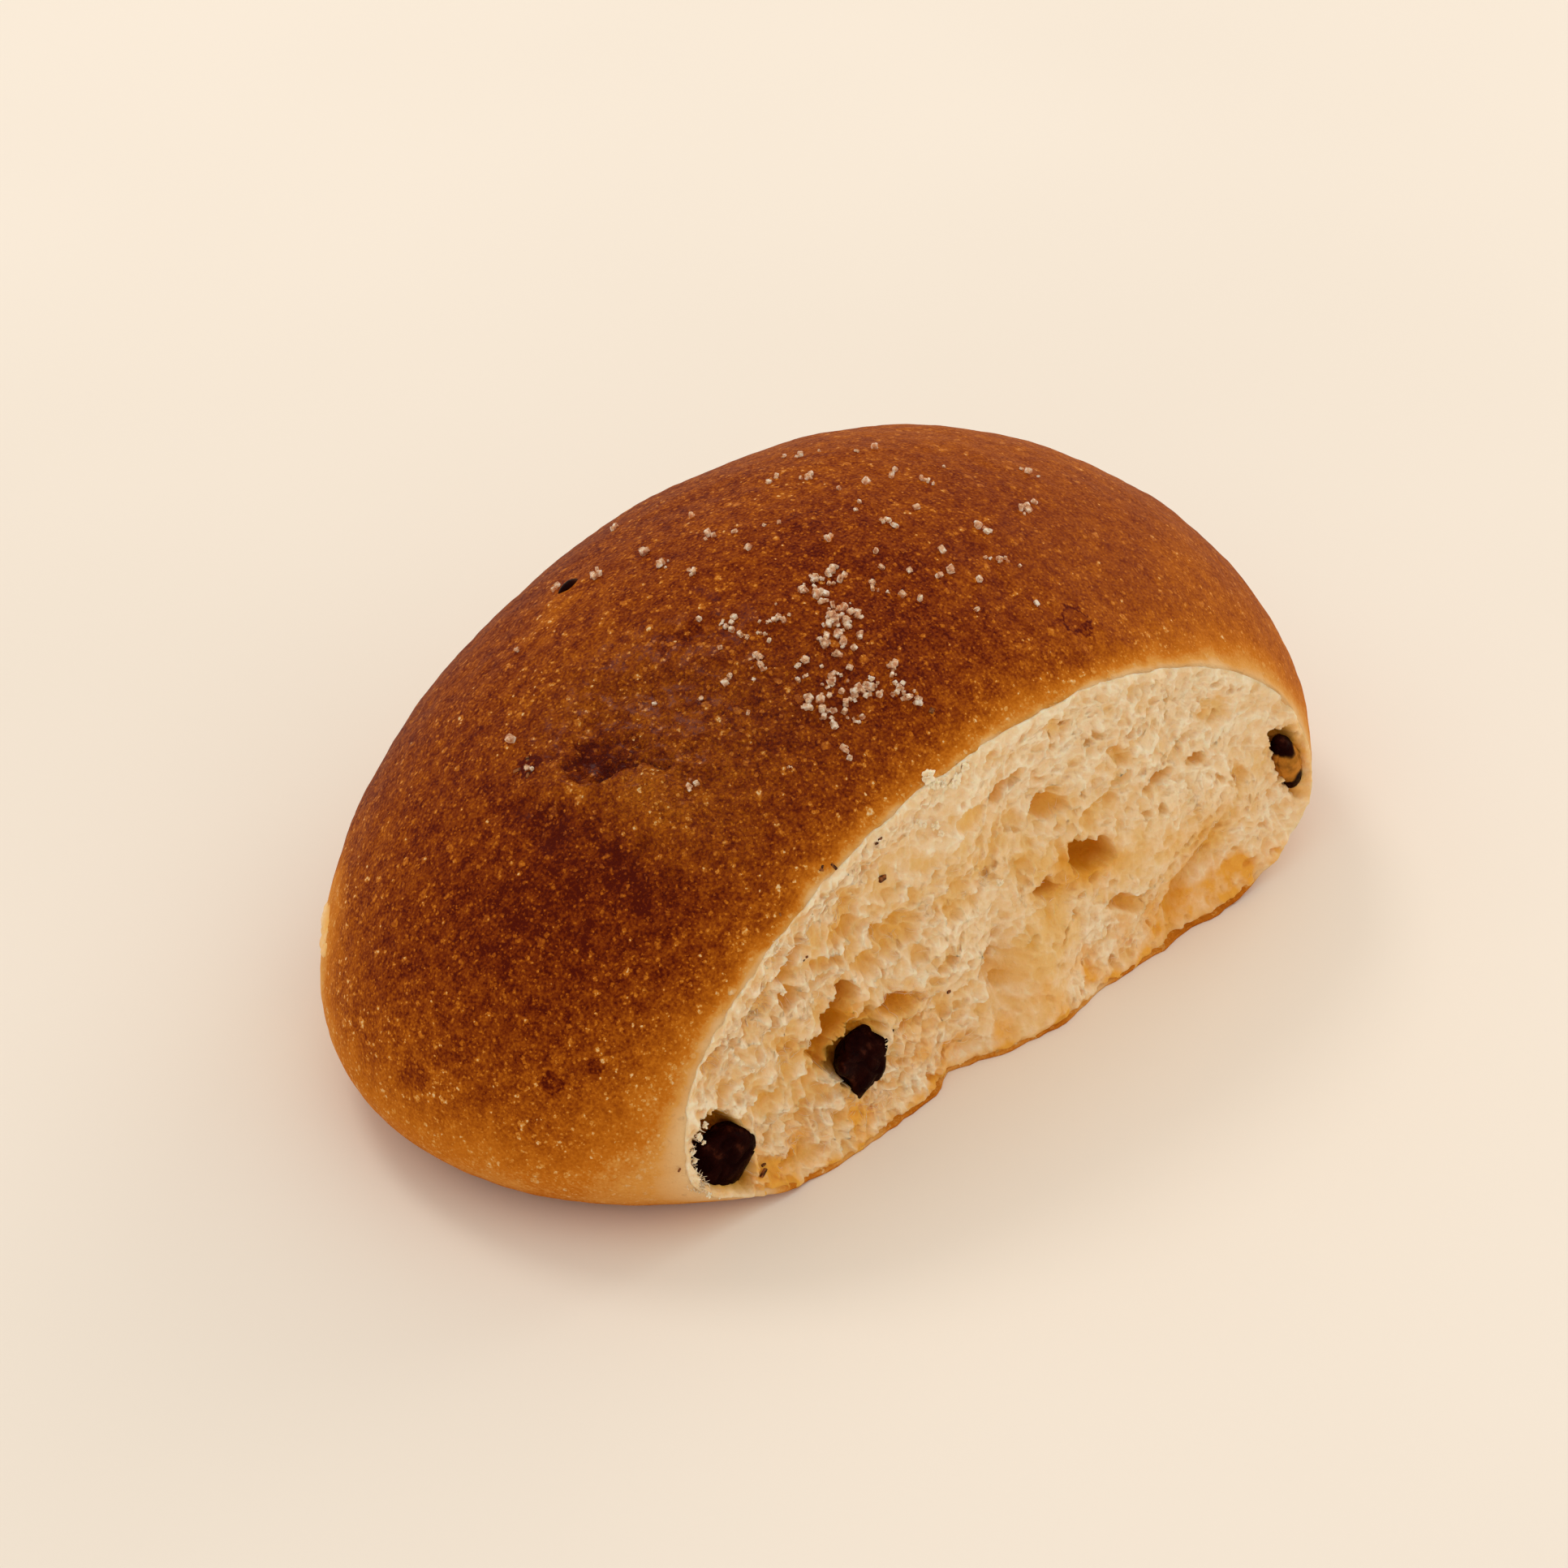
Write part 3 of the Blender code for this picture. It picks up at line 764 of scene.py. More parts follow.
def make_crumb(finish, fields):
    grid = stretched_grid(crumb_rim(2 * (CRUMB_COLUMNS + CRUMB_ROWS)))
    x, z = grid[..., 0], grid[..., 2]
    inside = from_flat(fields["inside"], x, z)
    y = torn_y(x, z)
    near_rim = 1 - rise(inside, 0.3, 1.6)
    y = y + near_rim * rim_wander(np.stack([x, y, z], axis=-1)) + from_flat(fields["depth"], x, z)
    points = np.stack([x, y, z], axis=-1)
    lean = from_flat(fields["crest"], x, z) * rise(inside, 0.8, 2.5)
    points[..., 0] += 0.35 * lean * noise(flat(x, z), 2.2, 51)
    points[..., 2] += 0.35 * lean * noise(flat(x, z), 2.2, 52)

    columns, rows = CRUMB_COLUMNS + 1, CRUMB_ROWS + 1
    number = np.arange(columns * rows).reshape(columns, rows)
    corners = (number[:-1, :-1], number[1:, :-1], number[1:, 1:], number[:-1, 1:])
    front = np.stack(corners, axis=-1).reshape(-1, 4)
    edge = np.concatenate([number[:-1, 0], number[-1, :-1], number[:0:-1, -1], number[0, :0:-1]])
    front_points = points.reshape(-1, 3)
    back = front_points[edge] + np.array([0.0, CRUMB_BACK, 0.0])
    middle = back.mean(axis=0, keepdims=True)
    first_back = columns * rows
    i = np.arange(len(edge))
    j = (i + 1) % len(edge)
    sides = np.stack([edge[i], first_back + i, first_back + j, edge[j]], axis=-1)
    closing = fan_faces(first_back + len(edge), first_back, len(edge), False)
    everything = np.concatenate([front_points, back, middle])
    piece = mesh_piece("crumb", everything, [np.concatenate([front, sides]), closing], finish)
    hidden = np.zeros(len(edge) + 1)
    low_down = (1 - rise(z, 2.0, 9.0)) * (0.36 + 0.85 * noise(flat(x, z), 2.4, 54))
    # Toasted crumb along the base and low down, and the golden stretches, partly painted shade in holes and
    # grooves.
    toasted = 0.8 * (1 - rise(z, 0.3, 1.3)) + blots(x, z, GOLDEN_TOAST_AND_SHADE) + low_down
    hollow = np.concatenate([from_flat(fields["hollow"], x, z).ravel(), hidden])
    mark(piece, hollow=hollow, toasted=np.concatenate([np.clip(toasted, 0, 1).ravel(), hidden]))
    return piece


# ---------------------------------------------------------------- threads of crumb

THREAD_STEPS = 7
THREAD_SIDES = 3
WEB_THREADS = 2600

# Fluffy tufts: middle x and z on the torn side, spread, number of threads, and how long they are
TUFT_SPOTS = (
    (-40.2, 11.6, 0.9, 170, 0.9),
    (-40.8, 9.3, 0.8, 130, 0.8),
    (-40.9, 6.6, 0.8, 90, 0.7),
    (-31.8, 20.4, 1.4, 40, 0.6),
    (-29.6, 26.4, 1.2, 40, 0.6),
    (-3.0, 19.6, 0.8, 30, 0.7),
)


def thread_mesh(paths, radii):
    """Points and faces of thin threads, each a three-sided tube that narrows towards its ends."""
    paths = np.asarray(paths)
    count, steps = paths.shape[:2]
    along = normalized(np.gradient(paths, axis=1))
    side = normalized(np.cross(along, np.array([0.31, 0.22, 0.93])))
    other = np.cross(along, side)
    taper = 0.35 + 0.65 * np.sin(np.linspace(0.0, math.pi, steps))
    width = np.asarray(radii)[:, None] * taper
    rings = []
    for corner in range(THREAD_SIDES):
        turn = 2 * math.pi * corner / THREAD_SIDES
        rings.append(paths + width[..., None] * (math.cos(turn) * side + math.sin(turn) * other))
    points = np.stack(rings, axis=2)
    number = np.arange(points[..., 0].size).reshape(count, steps, THREAD_SIDES)
    after = np.roll(number, -1, axis=2)
    sides = np.stack([number[:, :-1], after[:, :-1], after[:, 1:], number[:, 1:]], axis=-1).reshape(-1, 4)
    ends = np.concatenate([number[:, 0, ::-1], number[:, -1]])
    return points.reshape(-1, 3), [sides, ends]


def on_face(fields, x, z, proud):
    """Points over the torn side's skin at x and z, standing proud of it."""
    return np.stack([x, torn_y(x, z) + from_flat(fields["depth"], x, z) - proud, z], axis=-1)


def web_threads(fields, rng):
    """Threads left standing between the crests of neighbouring cells."""
    x = rng.uniform(-44.0, 42.0, WEB_THREADS * 12)
    z = rng.uniform(0.8, 35.0, WEB_THREADS * 12)
    crest = from_flat(fields["crest"], x, z)
    inside = from_flat(fields["inside"], x, z)
    finer = 1 - 0.85 * rise(x, -24.0, -4.0)
    kept = (crest > 0.6) & (inside > 0.9) & (z > 2.0) & (rng.uniform(size=len(x)) < finer)
    x, z = x[kept][:WEB_THREADS, None], z[kept][:WEB_THREADS, None]
    turn = rng.uniform(0, 2 * math.pi, x.shape)
    length = rng.uniform(0.3, 1.2, x.shape)
    share = np.linspace(0.0, 1.0, THREAD_STEPS)
    bend = rng.uniform(-0.35, 0.35, x.shape) * length * np.sin(math.pi * share)
    path_x = x + np.cos(turn) * length * share - np.sin(turn) * bend
    path_z = z + np.sin(turn) * length * share + np.cos(turn) * bend
    ends = on_face(fields, path_x[:, [0, -1]], path_z[:, [0, -1]], 0.02)[..., 1]
    y = ends[:, :1] * (1 - share) + ends[:, 1:] * share
    y = y + rng.uniform(-0.25, 0.3, x.shape) * np.sin(math.pi * share)
    skin = on_face(fields, path_x, path_z, 0.03)[..., 1]
    y = np.minimum(y, skin + 0.25)
    return np.stack([path_x, y, path_z], axis=-1), rng.uniform(0.016, 0.036, len(x))


def tuft_threads(fields, rng):
    """Curled threads in the fluffy tufts."""
    paths, radii = [], []
    for mid_x, mid_z, spread, count, stand in TUFT_SPOTS:
        x = mid_x + spread * 0.6 * rng.normal(size=count)
        z = mid_z + spread * 0.6 * rng.normal(size=count)
        point = on_face(fields, x, z, -0.1)
        heading = rng.normal(size=(count, 3)) + np.array([0.0, -0.6, 0.5])
        path = [point]
        for _ in range(THREAD_STEPS - 1):
            heading = heading + rng.normal(size=(count, 3)) * 0.7
            point = point + normalized(heading) * stand * rng.uniform(0.12, 0.26, (count, 1))
            path.append(point)
        paths.append(np.stack(path, axis=1))
        radii.append(rng.uniform(0.03, 0.07, count))
    return np.concatenate(paths), np.concatenate(radii)


def make_threads(finish, fields):
    rng = np.random.default_rng(9)
    web_paths, web_radii = web_threads(fields, rng)
    tuft_paths, tuft_radii = tuft_threads(fields, rng)
    paths = np.concatenate([web_paths, tuft_paths])
    points, faces = thread_mesh(paths, np.concatenate([web_radii, tuft_radii]))
    piece = mesh_piece("crumb_threads", points, faces, finish)
    mark(piece, hollow=0.2, toasted=0.0)
    return piece


# ---------------------------------------------------------------- loose crumbs

# Crumbs that cling to the torn side and its rim: x, y and z of the middle, and size
CRUMBS = (
    (-10.5, -23.9, 35.9, 1.1), (-9.9, -24.3, 35.0, 1.0), (-9.2, -24.5, 34.6, 0.8),
    (-6.5, -24.5, 35.1, 1.0),     (-7.9, -24.6, 34.3, 1.3), (-12.2, -24.4, 31.8, 0.7),
    (-11.6, -24.5, 31.2, 0.5), (-10.2, -24.6, 30.4, 0.8),     (-9.5, -24.8, 29.2, 0.6),
    (-29.7, -24.2, 22.3, 0.6), (-33.9, -24.3, 15.5, 0.5),
    (-2.4, -25.9, 19.8, 0.7),     (-31.3, -22.3, 25.6, 0.4), (-26.2, -24.3, 19.2, 0.5),
    (-39.9, -24.2, 12.7, 0.6), (-40.7, -24.2, 11.8, 0.7),     (-40.2, -24.3, 10.9, 0.4),
    (-41.4, -24.1, 10.3, 0.6), (-41.3, -24.2, 9.2, 0.5),
    (-41.4, -24.2, 7.9, 0.6),     (-41.0, -24.6, 6.4, 0.5), (-40.2, -24.9, 4.9, 0.6),
    (-39.1, -25.1, 4.1, 0.5),
)


def make_crumbs(finish):
    bm = bmesh.new()
    for number, (x, y, z, size) in enumerate(CRUMBS):
        start = len(bm.verts)
        bmesh.ops.create_icosphere(bm, subdivisions=4, radius=1.0)
        bm.verts.ensure_lookup_table()
        verts = bm.verts[start:]
        unit = np.array([v.co[:] for v in verts])
        spread = 1 + 0.6 * noise(unit + number * 7.0, 0.7, 71) + 0.45 * noise(unit + number * 7.0, 0.35, 72)
        pits = 0.3 * np.exp(-((noise(unit + number * 7.0, 0.4, 73) / 0.25) ** 2))
        places = unit * ((spread - pits) * size / 2)[:, None] * np.array([1.0, 0.8, 0.9])
        for vert, place in zip(verts, places + np.array([x, y, z]) + MIDDLE):
            vert.co = place * METRE
    piece = piece_from("loose_crumbs", bm, finish, True)
    mark(piece, hollow=0.0, toasted=0.0)
    return piece


# ---------------------------------------------------------------- scar of the second neighbour

SCAR_AROUND, SCAR_RINGS = 120, 26


def make_scar(finish):
    """A small pale patch of torn crumb low on the near end, where another bun was pulled away."""
    out = outward(SCAR_MIDDLE)
    level = normalized(np.cross(np.array([0.0, 0.0, 1.0]), out))
    up = np.cross(out, level)
    around = np.arange(SCAR_AROUND) / SCAR_AROUND * 2 * math.pi
    loop = np.stack([np.cos(around), np.sin(around), np.zeros_like(around)], axis=-1)
    ragged = 1 + 0.16 * noise(loop, 0.7, 61) + 0.10 * noise(loop, 0.25, 62)
    share = (np.arange(1, SCAR_RINGS + 1) / SCAR_RINGS)[:, None]
    spread = share * ragged[None, :]
    place = SCAR_MIDDLE + (spread * np.cos(around) * SCAR_HALF_LONG)[..., None] * level
    place = place + (spread * np.sin(around) * SCAR_HALF_HIGH)[..., None] * up
    skin = surface_from_heart(normalized(place - HEART))
    dimples = np.abs(noise(skin, 1.5, 63)) + 0.5 * np.abs(noise(skin, 0.7, 64))
    stand = SCAR_THICKNESS * (1 - share**8) * (0.75 + 0.35 * noise(skin, 3.0, 65)) - 0.35 * (1 - dimples)
    stand = stand * (1 - share**6) - 0.4 * share**6
    rings = (skin + outward(skin) * stand[..., None]).reshape(-1, 3)
    peak = surface_from_heart(normalized(SCAR_MIDDLE - HEART)[None])
    points = np.concatenate([peak + out * SCAR_THICKNESS * 0.6, rings, peak - out * 0.6])
    piece = mesh_piece("neighbour_scar", points, closed_rings(SCAR_RINGS, SCAR_AROUND), finish)
    # Painted shade: the dimples of the scar are coloured darker.
    hollow = np.concatenate([[0.3], 0.6 * np.clip((1 - dimples).ravel(), 0, 1), [0.0]])
    golden = np.broadcast_to(0.35 + 0.6 * share**3, dimples.shape).ravel()
    mark(piece, hollow=hollow, toasted=np.concatenate([[0.35], golden, [1.0]]))
    return piece


# ---------------------------------------------------------------- raisins

RAISIN_AROUND, RAISIN_RINGS = 120, 70
SPLIT_RAISIN = "raisin_far_end"

# The raisin in the crust: name, middle x and y, half sizes, turn in degrees, and depth below the skin
CRUST_RAISIN = ("raisin_in_crust", -15.2, 18.0, (1.5, 1.0, 0.9), 62.0, 0.35)
CRUST_RAISIN_SEED = 140

# Corners that stick out of a raisin, and hollows in it: a direction, and how many millimetres
CORNERS = {
    "raisin_near_end": ((-0.5, -0.3, 0.8, 0.7), (0.1, -0.4, -0.9, 0.7), (-0.7, -0.4, -0.5, 0.4)),
    "raisin_middle": (
        (-0.80, -0.45, 0.50, 2.5), (0.00, -0.2, 1.0, 0.6), (1.0, -0.3, 0.60, 1.5),
        (-0.5, -0.3, -1.0, 0.9), (-0.95, -0.3, -0.3, -1.0), (0.85, -0.3, -0.55, -0.9),
        (0.45, -0.3, 0.9, -0.7), (-0.3, -0.3, 1.0, -0.7),
    ),
}
CORNER_WIDTH = 0.08


def wrinkled_skin(unit, half_sizes, seed):
    """How far a raisin's skin lies inside its oval: broad flats, with a few deep folds and finer ones."""
    spot = unit * half_sizes
    lengthwise = spot / np.array([1.0, 1.0, 2.0]) + 0.5 * noise(spot, 1.6, seed)[..., None]
    folds = np.exp(-((noise(lengthwise, 1.7, seed + 1) / 0.13) ** 2))
    fine = np.exp(-((noise(lengthwise, 0.8, seed + 2) / 0.2) ** 2))
    return 0.26 * folds + 0.06 * fine + 0.45 * (1 + noise(spot, 2.6, seed + 3)), folds


def make_raisin(name, middle, half_sizes, spin, seed, flesh, finish):
    around = np.arange(RAISIN_AROUND) / RAISIN_AROUND * 2 * math.pi
    down = (np.arange(1, RAISIN_RINGS) / RAISIN_RINGS * math.pi)[:, None]
    level = np.broadcast_to(np.cos(down), (len(down), len(around)))
    ring = np.stack([np.sin(down) * np.cos(around), np.sin(down) * np.sin(around), level], axis=-1)
    ring = ring.reshape(-1, 3)
    unit = np.concatenate([[[0.0, 0.0, 1.0]], ring, [[0.0, 0.0, -1.0]]])
    half_sizes = np.asarray(half_sizes)
    sunk, folds = wrinkled_skin(unit, half_sizes, seed)
    small = min(half_sizes) / 3.0
    local = unit * (half_sizes - np.minimum(sunk * small, 0.6 * min(half_sizes))[:, None])
    turned = unit @ np.asarray(spin).T
    points = middle + local @ np.asarray(spin).T
    for *heading, far in CORNERS.get(name, ()):
        heading = normalized(np.array(heading))
        points = points + heading * (far * np.exp((turned @ heading - 1) / CORNER_WIDTH))[:, None]
    piece = mesh_piece(name + "_skin", points, closed_rings(RAISIN_RINGS - 1, RAISIN_AROUND), finish)
    split = np.abs(unit[:, 2] - 0.08 + 0.3 * noise(local, 1.2, seed + 4))
    mark(piece, fold=folds, flesh=(1 - rise(split, 0.3, 0.6)) * flesh)
    return piece


def make_raisins(finish):
    made = {}
    for seed, (name, x, z, depth, half_sizes, turns) in enumerate(TORN_RAISINS):
        spin = Euler([math.radians(t) for t in turns]).to_matrix()
        middle = np.array([x, torn_y(x, z) + depth, z])
        flesh = float(name == SPLIT_RAISIN)
        made[name] = make_raisin(name, middle, half_sizes, spin, 100 + 10 * seed, flesh, finish)
    name, x, y, half_sizes, turn, sunk = CRUST_RAISIN
    skin, out, level = seat_on_crust(x, y)
    spin = level @ Euler((0.0, 0.0, math.radians(turn))).to_matrix()
    made[name] = make_raisin(name, skin - out * sunk, half_sizes, spin, CRUST_RAISIN_SEED, 0.0, finish)
    return made


# ---------------------------------------------------------------- sugar and raisin bits

# Sugar on the crust: middle x and y of each scatter, its spread, and how many crystals
SUGAR_SCATTERS = (
    (-7.6, -9.6, 1.5, 26), (-13.0, -5.0, 1.1, 9), (-15.5, -7.2, 0.8, 9), (-12.8, -10.0, 0.7, 7),
    (-12.0, -13.0, 0.9, 11), (-14.8, -13.8, 0.7, 6), (-14.2, -15.4, 0.6, 5), (-11.6, -15.2, 0.8, 7),
    (-9.4, -15.6, 0.8, 11), (-7.4, -17.0, 0.8, 9), (-6.5, -15.8, 0.6, 5), (-12.6, -16.6, 0.5, 3),
    (-15.0, -18.0, 0.7, 3), (-6.5, -18.6, 0.5, 4), (-3.0, -5.2, 0.9, 8), (-6.4, -6.2, 1.3, 9),
    (-14.2, -2.0, 0.6, 4), (-4.6, -4.4, 0.7, 4), (-10.0, -11.6, 0.9, 5), (-5.0, -9.4, 0.7, 5),
    (-18.0, -6.2, 0.7, 3), (-10.2, -5.0, 0.8, 3), (-2.0, -9.0, 1.2, 3), (-11.2, 5.2, 0.4, 3),
    (-11.0, 9.5, 0.4, 3), (20.4, -7.6, 0.9, 4), (12.3, -12.8, 0.8, 4), (13.6, -8.6, 0.5, 3),
    (-34.4, 3.6, 0.35, 3), (-15.2, 19.2, 0.4, 3), (-14.0, 15.4, 0.4, 2), (5.0, 11.0, 0.5, 2),
    (7.0, 7.8, 0.5, 2), (15.0, 0.2, 0.5, 2), (26.5, -3.2, 0.8, 2), (-4.4, 22.4, 0.5, 2),
    (10.5, 13.6, 0.8, 2), (-6.0, 8.6, 0.6, 2), (0.0, 0.0, 9.0, 10), (10.0, 4.0, 10.0, 12),
)
SUGAR_SINGLES = (
    (-32.7, 7.4, 1.0), (-27.8, -10.6, 0.9), (-27.2, -10.9, 0.6), (-10.0, 13.0, 0.8), (-15.2, 0.5, 0.7),
    (-0.4, -1.6, 0.8), (6.1, -3.2, 0.9), (9.8, 3.0, 0.9), (7.3, -9.0, 0.8), (1.0, -12.0, 0.7),
    (5.0, -15.5, 0.7), (2.6, -9.2, 0.7), (11.2, -17.5, 0.7), (-21.0, -5.4, 0.5), (-13.0, 16.2, 0.6),
    (-23.6, -2.0, 0.5), (-19.4, -9.8, 0.5), (-20.4, -15.8, 0.4), (-16.4, -3.4, 0.5), (-24.0, 15.8, 0.5),
)
SUGAR_SMALL, SUGAR_LARGE = 0.24, 0.62
SUGAR_DENSITY = 1.3
SINGLES_SCALE = 0.75
CLUMPED_SHARE = 0.35

# The smallest and largest share by which the corners of a crystal or a bit are cut back
SUGAR_CHAMFER = (0.15, 0.55)
BIT_CHAMFER = (0.25, 0.5)

# Dark raisin bits and bran: x and z on the torn side, or x and y on the crust, then length and width
BITS_ON_FACE = (
    (-15.2, 26.1, 0.75, 0.6), (-17.0, 12.4, 1.0, 0.4), (-33.3, 3.1, 0.9, 0.4), (-32.8, 3.4, 0.5, 0.3),
    (-17.1, 32.6, 0.5, 0.2), (-17.5, 32.3, 0.35, 0.2), (-25.4, 23.1, 0.3, 0.2), (-25.6, 22.7, 0.35, 0.2),
    (-21.6, 28.9, 0.3, 0.12), (-43.2, 9.4, 0.4, 0.2), (-8.0, 9.3, 0.5, 0.3),
)
BITS_ON_CRUST = (
    (-22.4, -23.4, 0.7, 0.25), (-23.5, -22.9, 0.4, 0.2), (-23.3, -22.8, 0.35, 0.2), (-6.1, -20.1, 0.5, 0.4),
    (-34.8, 4.6, 0.8, 0.3), (-34.9, 3.0, 0.6, 0.25), (-33.6, 4.4, 0.5, 0.3), (-28.5, -22.6, 0.3, 0.15),
)


def add_lump(bm, middle, spin, half_sizes, chamfer, rng):
    """Adds one small closed lump: a box whose corners are cut off unevenly."""
    corners = []
    for a in (-1, 1):
        for b in (-1, 1):
            for c in (-1, 1):
                for axis in range(3):
                    point = np.array([a, b, c], dtype=float)
                    point[axis] *= 1 - rng.uniform(*chamfer)
                    corners.append(point * rng.uniform(0.93, 1.07))
    places = (np.array(corners) * half_sizes) @ np.asarray(spin).T + middle
    verts = [bm.verts.new((place + MIDDLE) * METRE) for place in places]
    made = bmesh.ops.convex_hull(bm, input=verts, use_existing_faces=False)
    spare = [item for item in made["geom_interior"] if isinstance(item, bmesh.types.BMVert)]
    bmesh.ops.delete(bm, geom=spare, context="VERTS")


def lump_piece(name, bm, finish):
    bmesh.ops.recalc_face_normals(bm, faces=bm.faces)
    return piece_from(name, bm, finish, False)


def make_sugar(finish):
    rng = np.random.default_rng(12)
    spots = []
    for mid_x, mid_y, spread, count in SUGAR_SCATTERS:
        for _ in range(round(count * SUGAR_DENSITY)):
            shift = rng.normal(size=2) * spread * 0.75
            spots.append((mid_x + shift[0], mid_y + shift[1], rng.uniform(SUGAR_SMALL, SUGAR_LARGE)))
    spots += [(x, y, size * SINGLES_SCALE) for x, y, size in SUGAR_SINGLES]
    bm = bmesh.new()
    for x, y, size in spots:
        skin, out, level = seat_on_crust(x, y)
        half = size / 2 * rng.uniform(0.55, 1.2, 3)
        tip_x, tip_y, turn = rng.uniform(-0.5, 0.5), rng.uniform(-0.5, 0.5), rng.uniform(0, 6.28)
        lying = level @ Euler((tip_x, tip_y, turn)).to_matrix()
        middle = skin + out * half[2] * 0.75
        add_lump(bm, middle, lying, half, SUGAR_CHAMFER, rng)
        if rng.uniform() < CLUMPED_SHARE:
            aside = rng.normal(size=3) * size * 0.4
            aside = aside - out * (aside @ out) * 0.6
            spin = Euler(rng.uniform(0, 2 * math.pi, 3)).to_matrix()
            add_lump(bm, middle + aside, spin, half * 0.7, SUGAR_CHAMFER, rng)
    return lump_piece("sugar", bm, finish)


def make_bits(finish, fields):
    rng = np.random.default_rng(14)
    bm = bmesh.new()
    for x, z, length, width in BITS_ON_FACE:
        place = on_face(fields, np.array([x]), np.array([z]), 0.0)[0]
        half = np.array([length, width * 0.6, width]) / 2
        add_lump(bm, place, Euler((0.0, rng.uniform(-0.9, 0.2), 0.0)).to_matrix(), half, BIT_CHAMFER, rng)
    for x, y, length, width in BITS_ON_CRUST:
        skin, _, level = seat_on_crust(x, y)
        spin = level @ Euler((0.0, 0.0, rng.uniform(0, math.pi))).to_matrix()
        half = np.array([length, width, width * 0.5]) / 2
        add_lump(bm, skin, spin, half, BIT_CHAMFER, rng)
    return lump_piece("raisin_bits", bm, finish)


# ---------------------------------------------------------------- finishes

def add(tree, kind, values=None, **settings):
    """Adds a node. A value that is a socket is linked, and any other is set on the input."""
    made = tree.nodes.new(kind)
    for name, value in settings.items():
        setattr(made, name, value)
    for name, value in (values or {}).items():
        if isinstance(value, bpy.types.NodeSocket):
            tree.links.new(value, made.inputs[name])
        else:
            made.inputs[name].default_value = value
    return made


def calc(tree, operation, *values, clamp=False):
    numbered = dict(enumerate(values))
    return add(tree, "ShaderNodeMath", numbered, operation=operation, use_clamp=clamp).outputs[0]


def total(tree, *terms):
    """The sum of weight times value over pairs of a value and a weight."""
    summed = 0.0
    for value, weight in terms:
        summed = calc(tree, "MULTIPLY_ADD", value, weight, summed)
    return summed


def group(name, inputs, outputs):
    """A new group of nodes with inputs and outputs that are numbers, and its two end nodes."""
    tree = bpy.data.node_groups.new(name, "ShaderNodeTree")
    for label, value in inputs.items():
        tree.interface.new_socket(label, in_out="INPUT", socket_type="NodeSocketFloat").default_value = value
    for label in outputs:
        tree.interface.new_socket(label, in_out="OUTPUT", socket_type="NodeSocketFloat")
    return tree, tree.nodes.new("NodeGroupInput").outputs, tree.nodes.new("NodeGroupOutput").inputs


def spot_in_mm(tree):
    """Where the surface is, in the frame's millimetres."""
    place = add(tree, "ShaderNodeTexCoord").outputs["Object"]
    return add(tree, "ShaderNodeVectorMath", {0: place, "Scale": 1000.0}, operation="SCALE").outputs[0]


def noise_node(tree, scale, detail):
    spread = {"Vector": spot_in_mm(tree), "Scale": scale, "Detail": detail}
    return add(tree, "ShaderNodeTexNoise", spread).outputs


def uneven_tone_group():
    tree, given, result = group("uneven_tone", {"Size": 1.0}, ["Tone"])
    spread = noise_node(tree, calc(tree, "DIVIDE", 1.0, given["Size"]), 3.0)
    tree.links.new(calc(tree, "MULTIPLY_ADD", spread["Fac"], 2.4, -0.7, clamp=True), result["Tone"])
    return tree


def crinkle_group():
    """Sharp little crests that wander over the surface."""
    tree, given, result = group("crinkle", {"Size": 1.0}, ["Crest"])
    spread = noise_node(tree, calc(tree, "DIVIDE", 1.0, given["Size"]), 4.0)
    away = calc(tree, "ABSOLUTE", calc(tree, "SUBTRACT", spread["Fac"], 0.5))
    tree.links.new(calc(tree, "MULTIPLY_ADD", away, -5.0, 1.0, clamp=True), result["Crest"])
    return tree


def beads_group():
    """Small uneven domes scattered over the surface, a share of the places left bare."""
    inputs = {"Spacing": 1.0, "Share": 0.5, "Width": 0.3}
    tree, given, result = group("beads", inputs, ["Dome", "Spot"])
    scale = calc(tree, "DIVIDE", 1.0, given["Spacing"])
    stray = noise_node(tree, calc(tree, "MULTIPLY", scale, 2.0), 2.0)
    aside = calc(tree, "MULTIPLY", given["Spacing"], 0.7)
    moved = add(tree, "ShaderNodeVectorMath", {0: stray["Color"], "Scale": aside}, operation="SCALE")
    place = add(tree, "ShaderNodeVectorMath", {0: spot_in_mm(tree), 1: moved.outputs[0]}, operation="ADD")
    cell = add(tree, "ShaderNodeTexVoronoi", {"Vector": place.outputs[0], "Scale": scale})
    tint = add(tree, "ShaderNodeSeparateColor", {"Color": cell.outputs["Color"]})
    uneven = calc(tree, "MULTIPLY_ADD", tint.outputs["Green"], 0.6, 0.6)
    away = calc(tree, "DIVIDE", cell.outputs["Distance"], calc(tree, "MULTIPLY", given["Width"], uneven))
    dome = calc(tree, "SUBTRACT", 1.0, calc(tree, "MULTIPLY", away, away), clamp=True)
    dome = calc(tree, "MULTIPLY", dome, calc(tree, "LESS_THAN", tint.outputs["Red"], given["Share"]))
    strong = calc(tree, "MULTIPLY_ADD", tint.outputs["Blue"], 3.0, 0.8)
    tree.links.new(dome, result["Dome"])
    tree.links.new(calc(tree, "MULTIPLY", dome, strong, clamp=True), result["Spot"])
    return tree


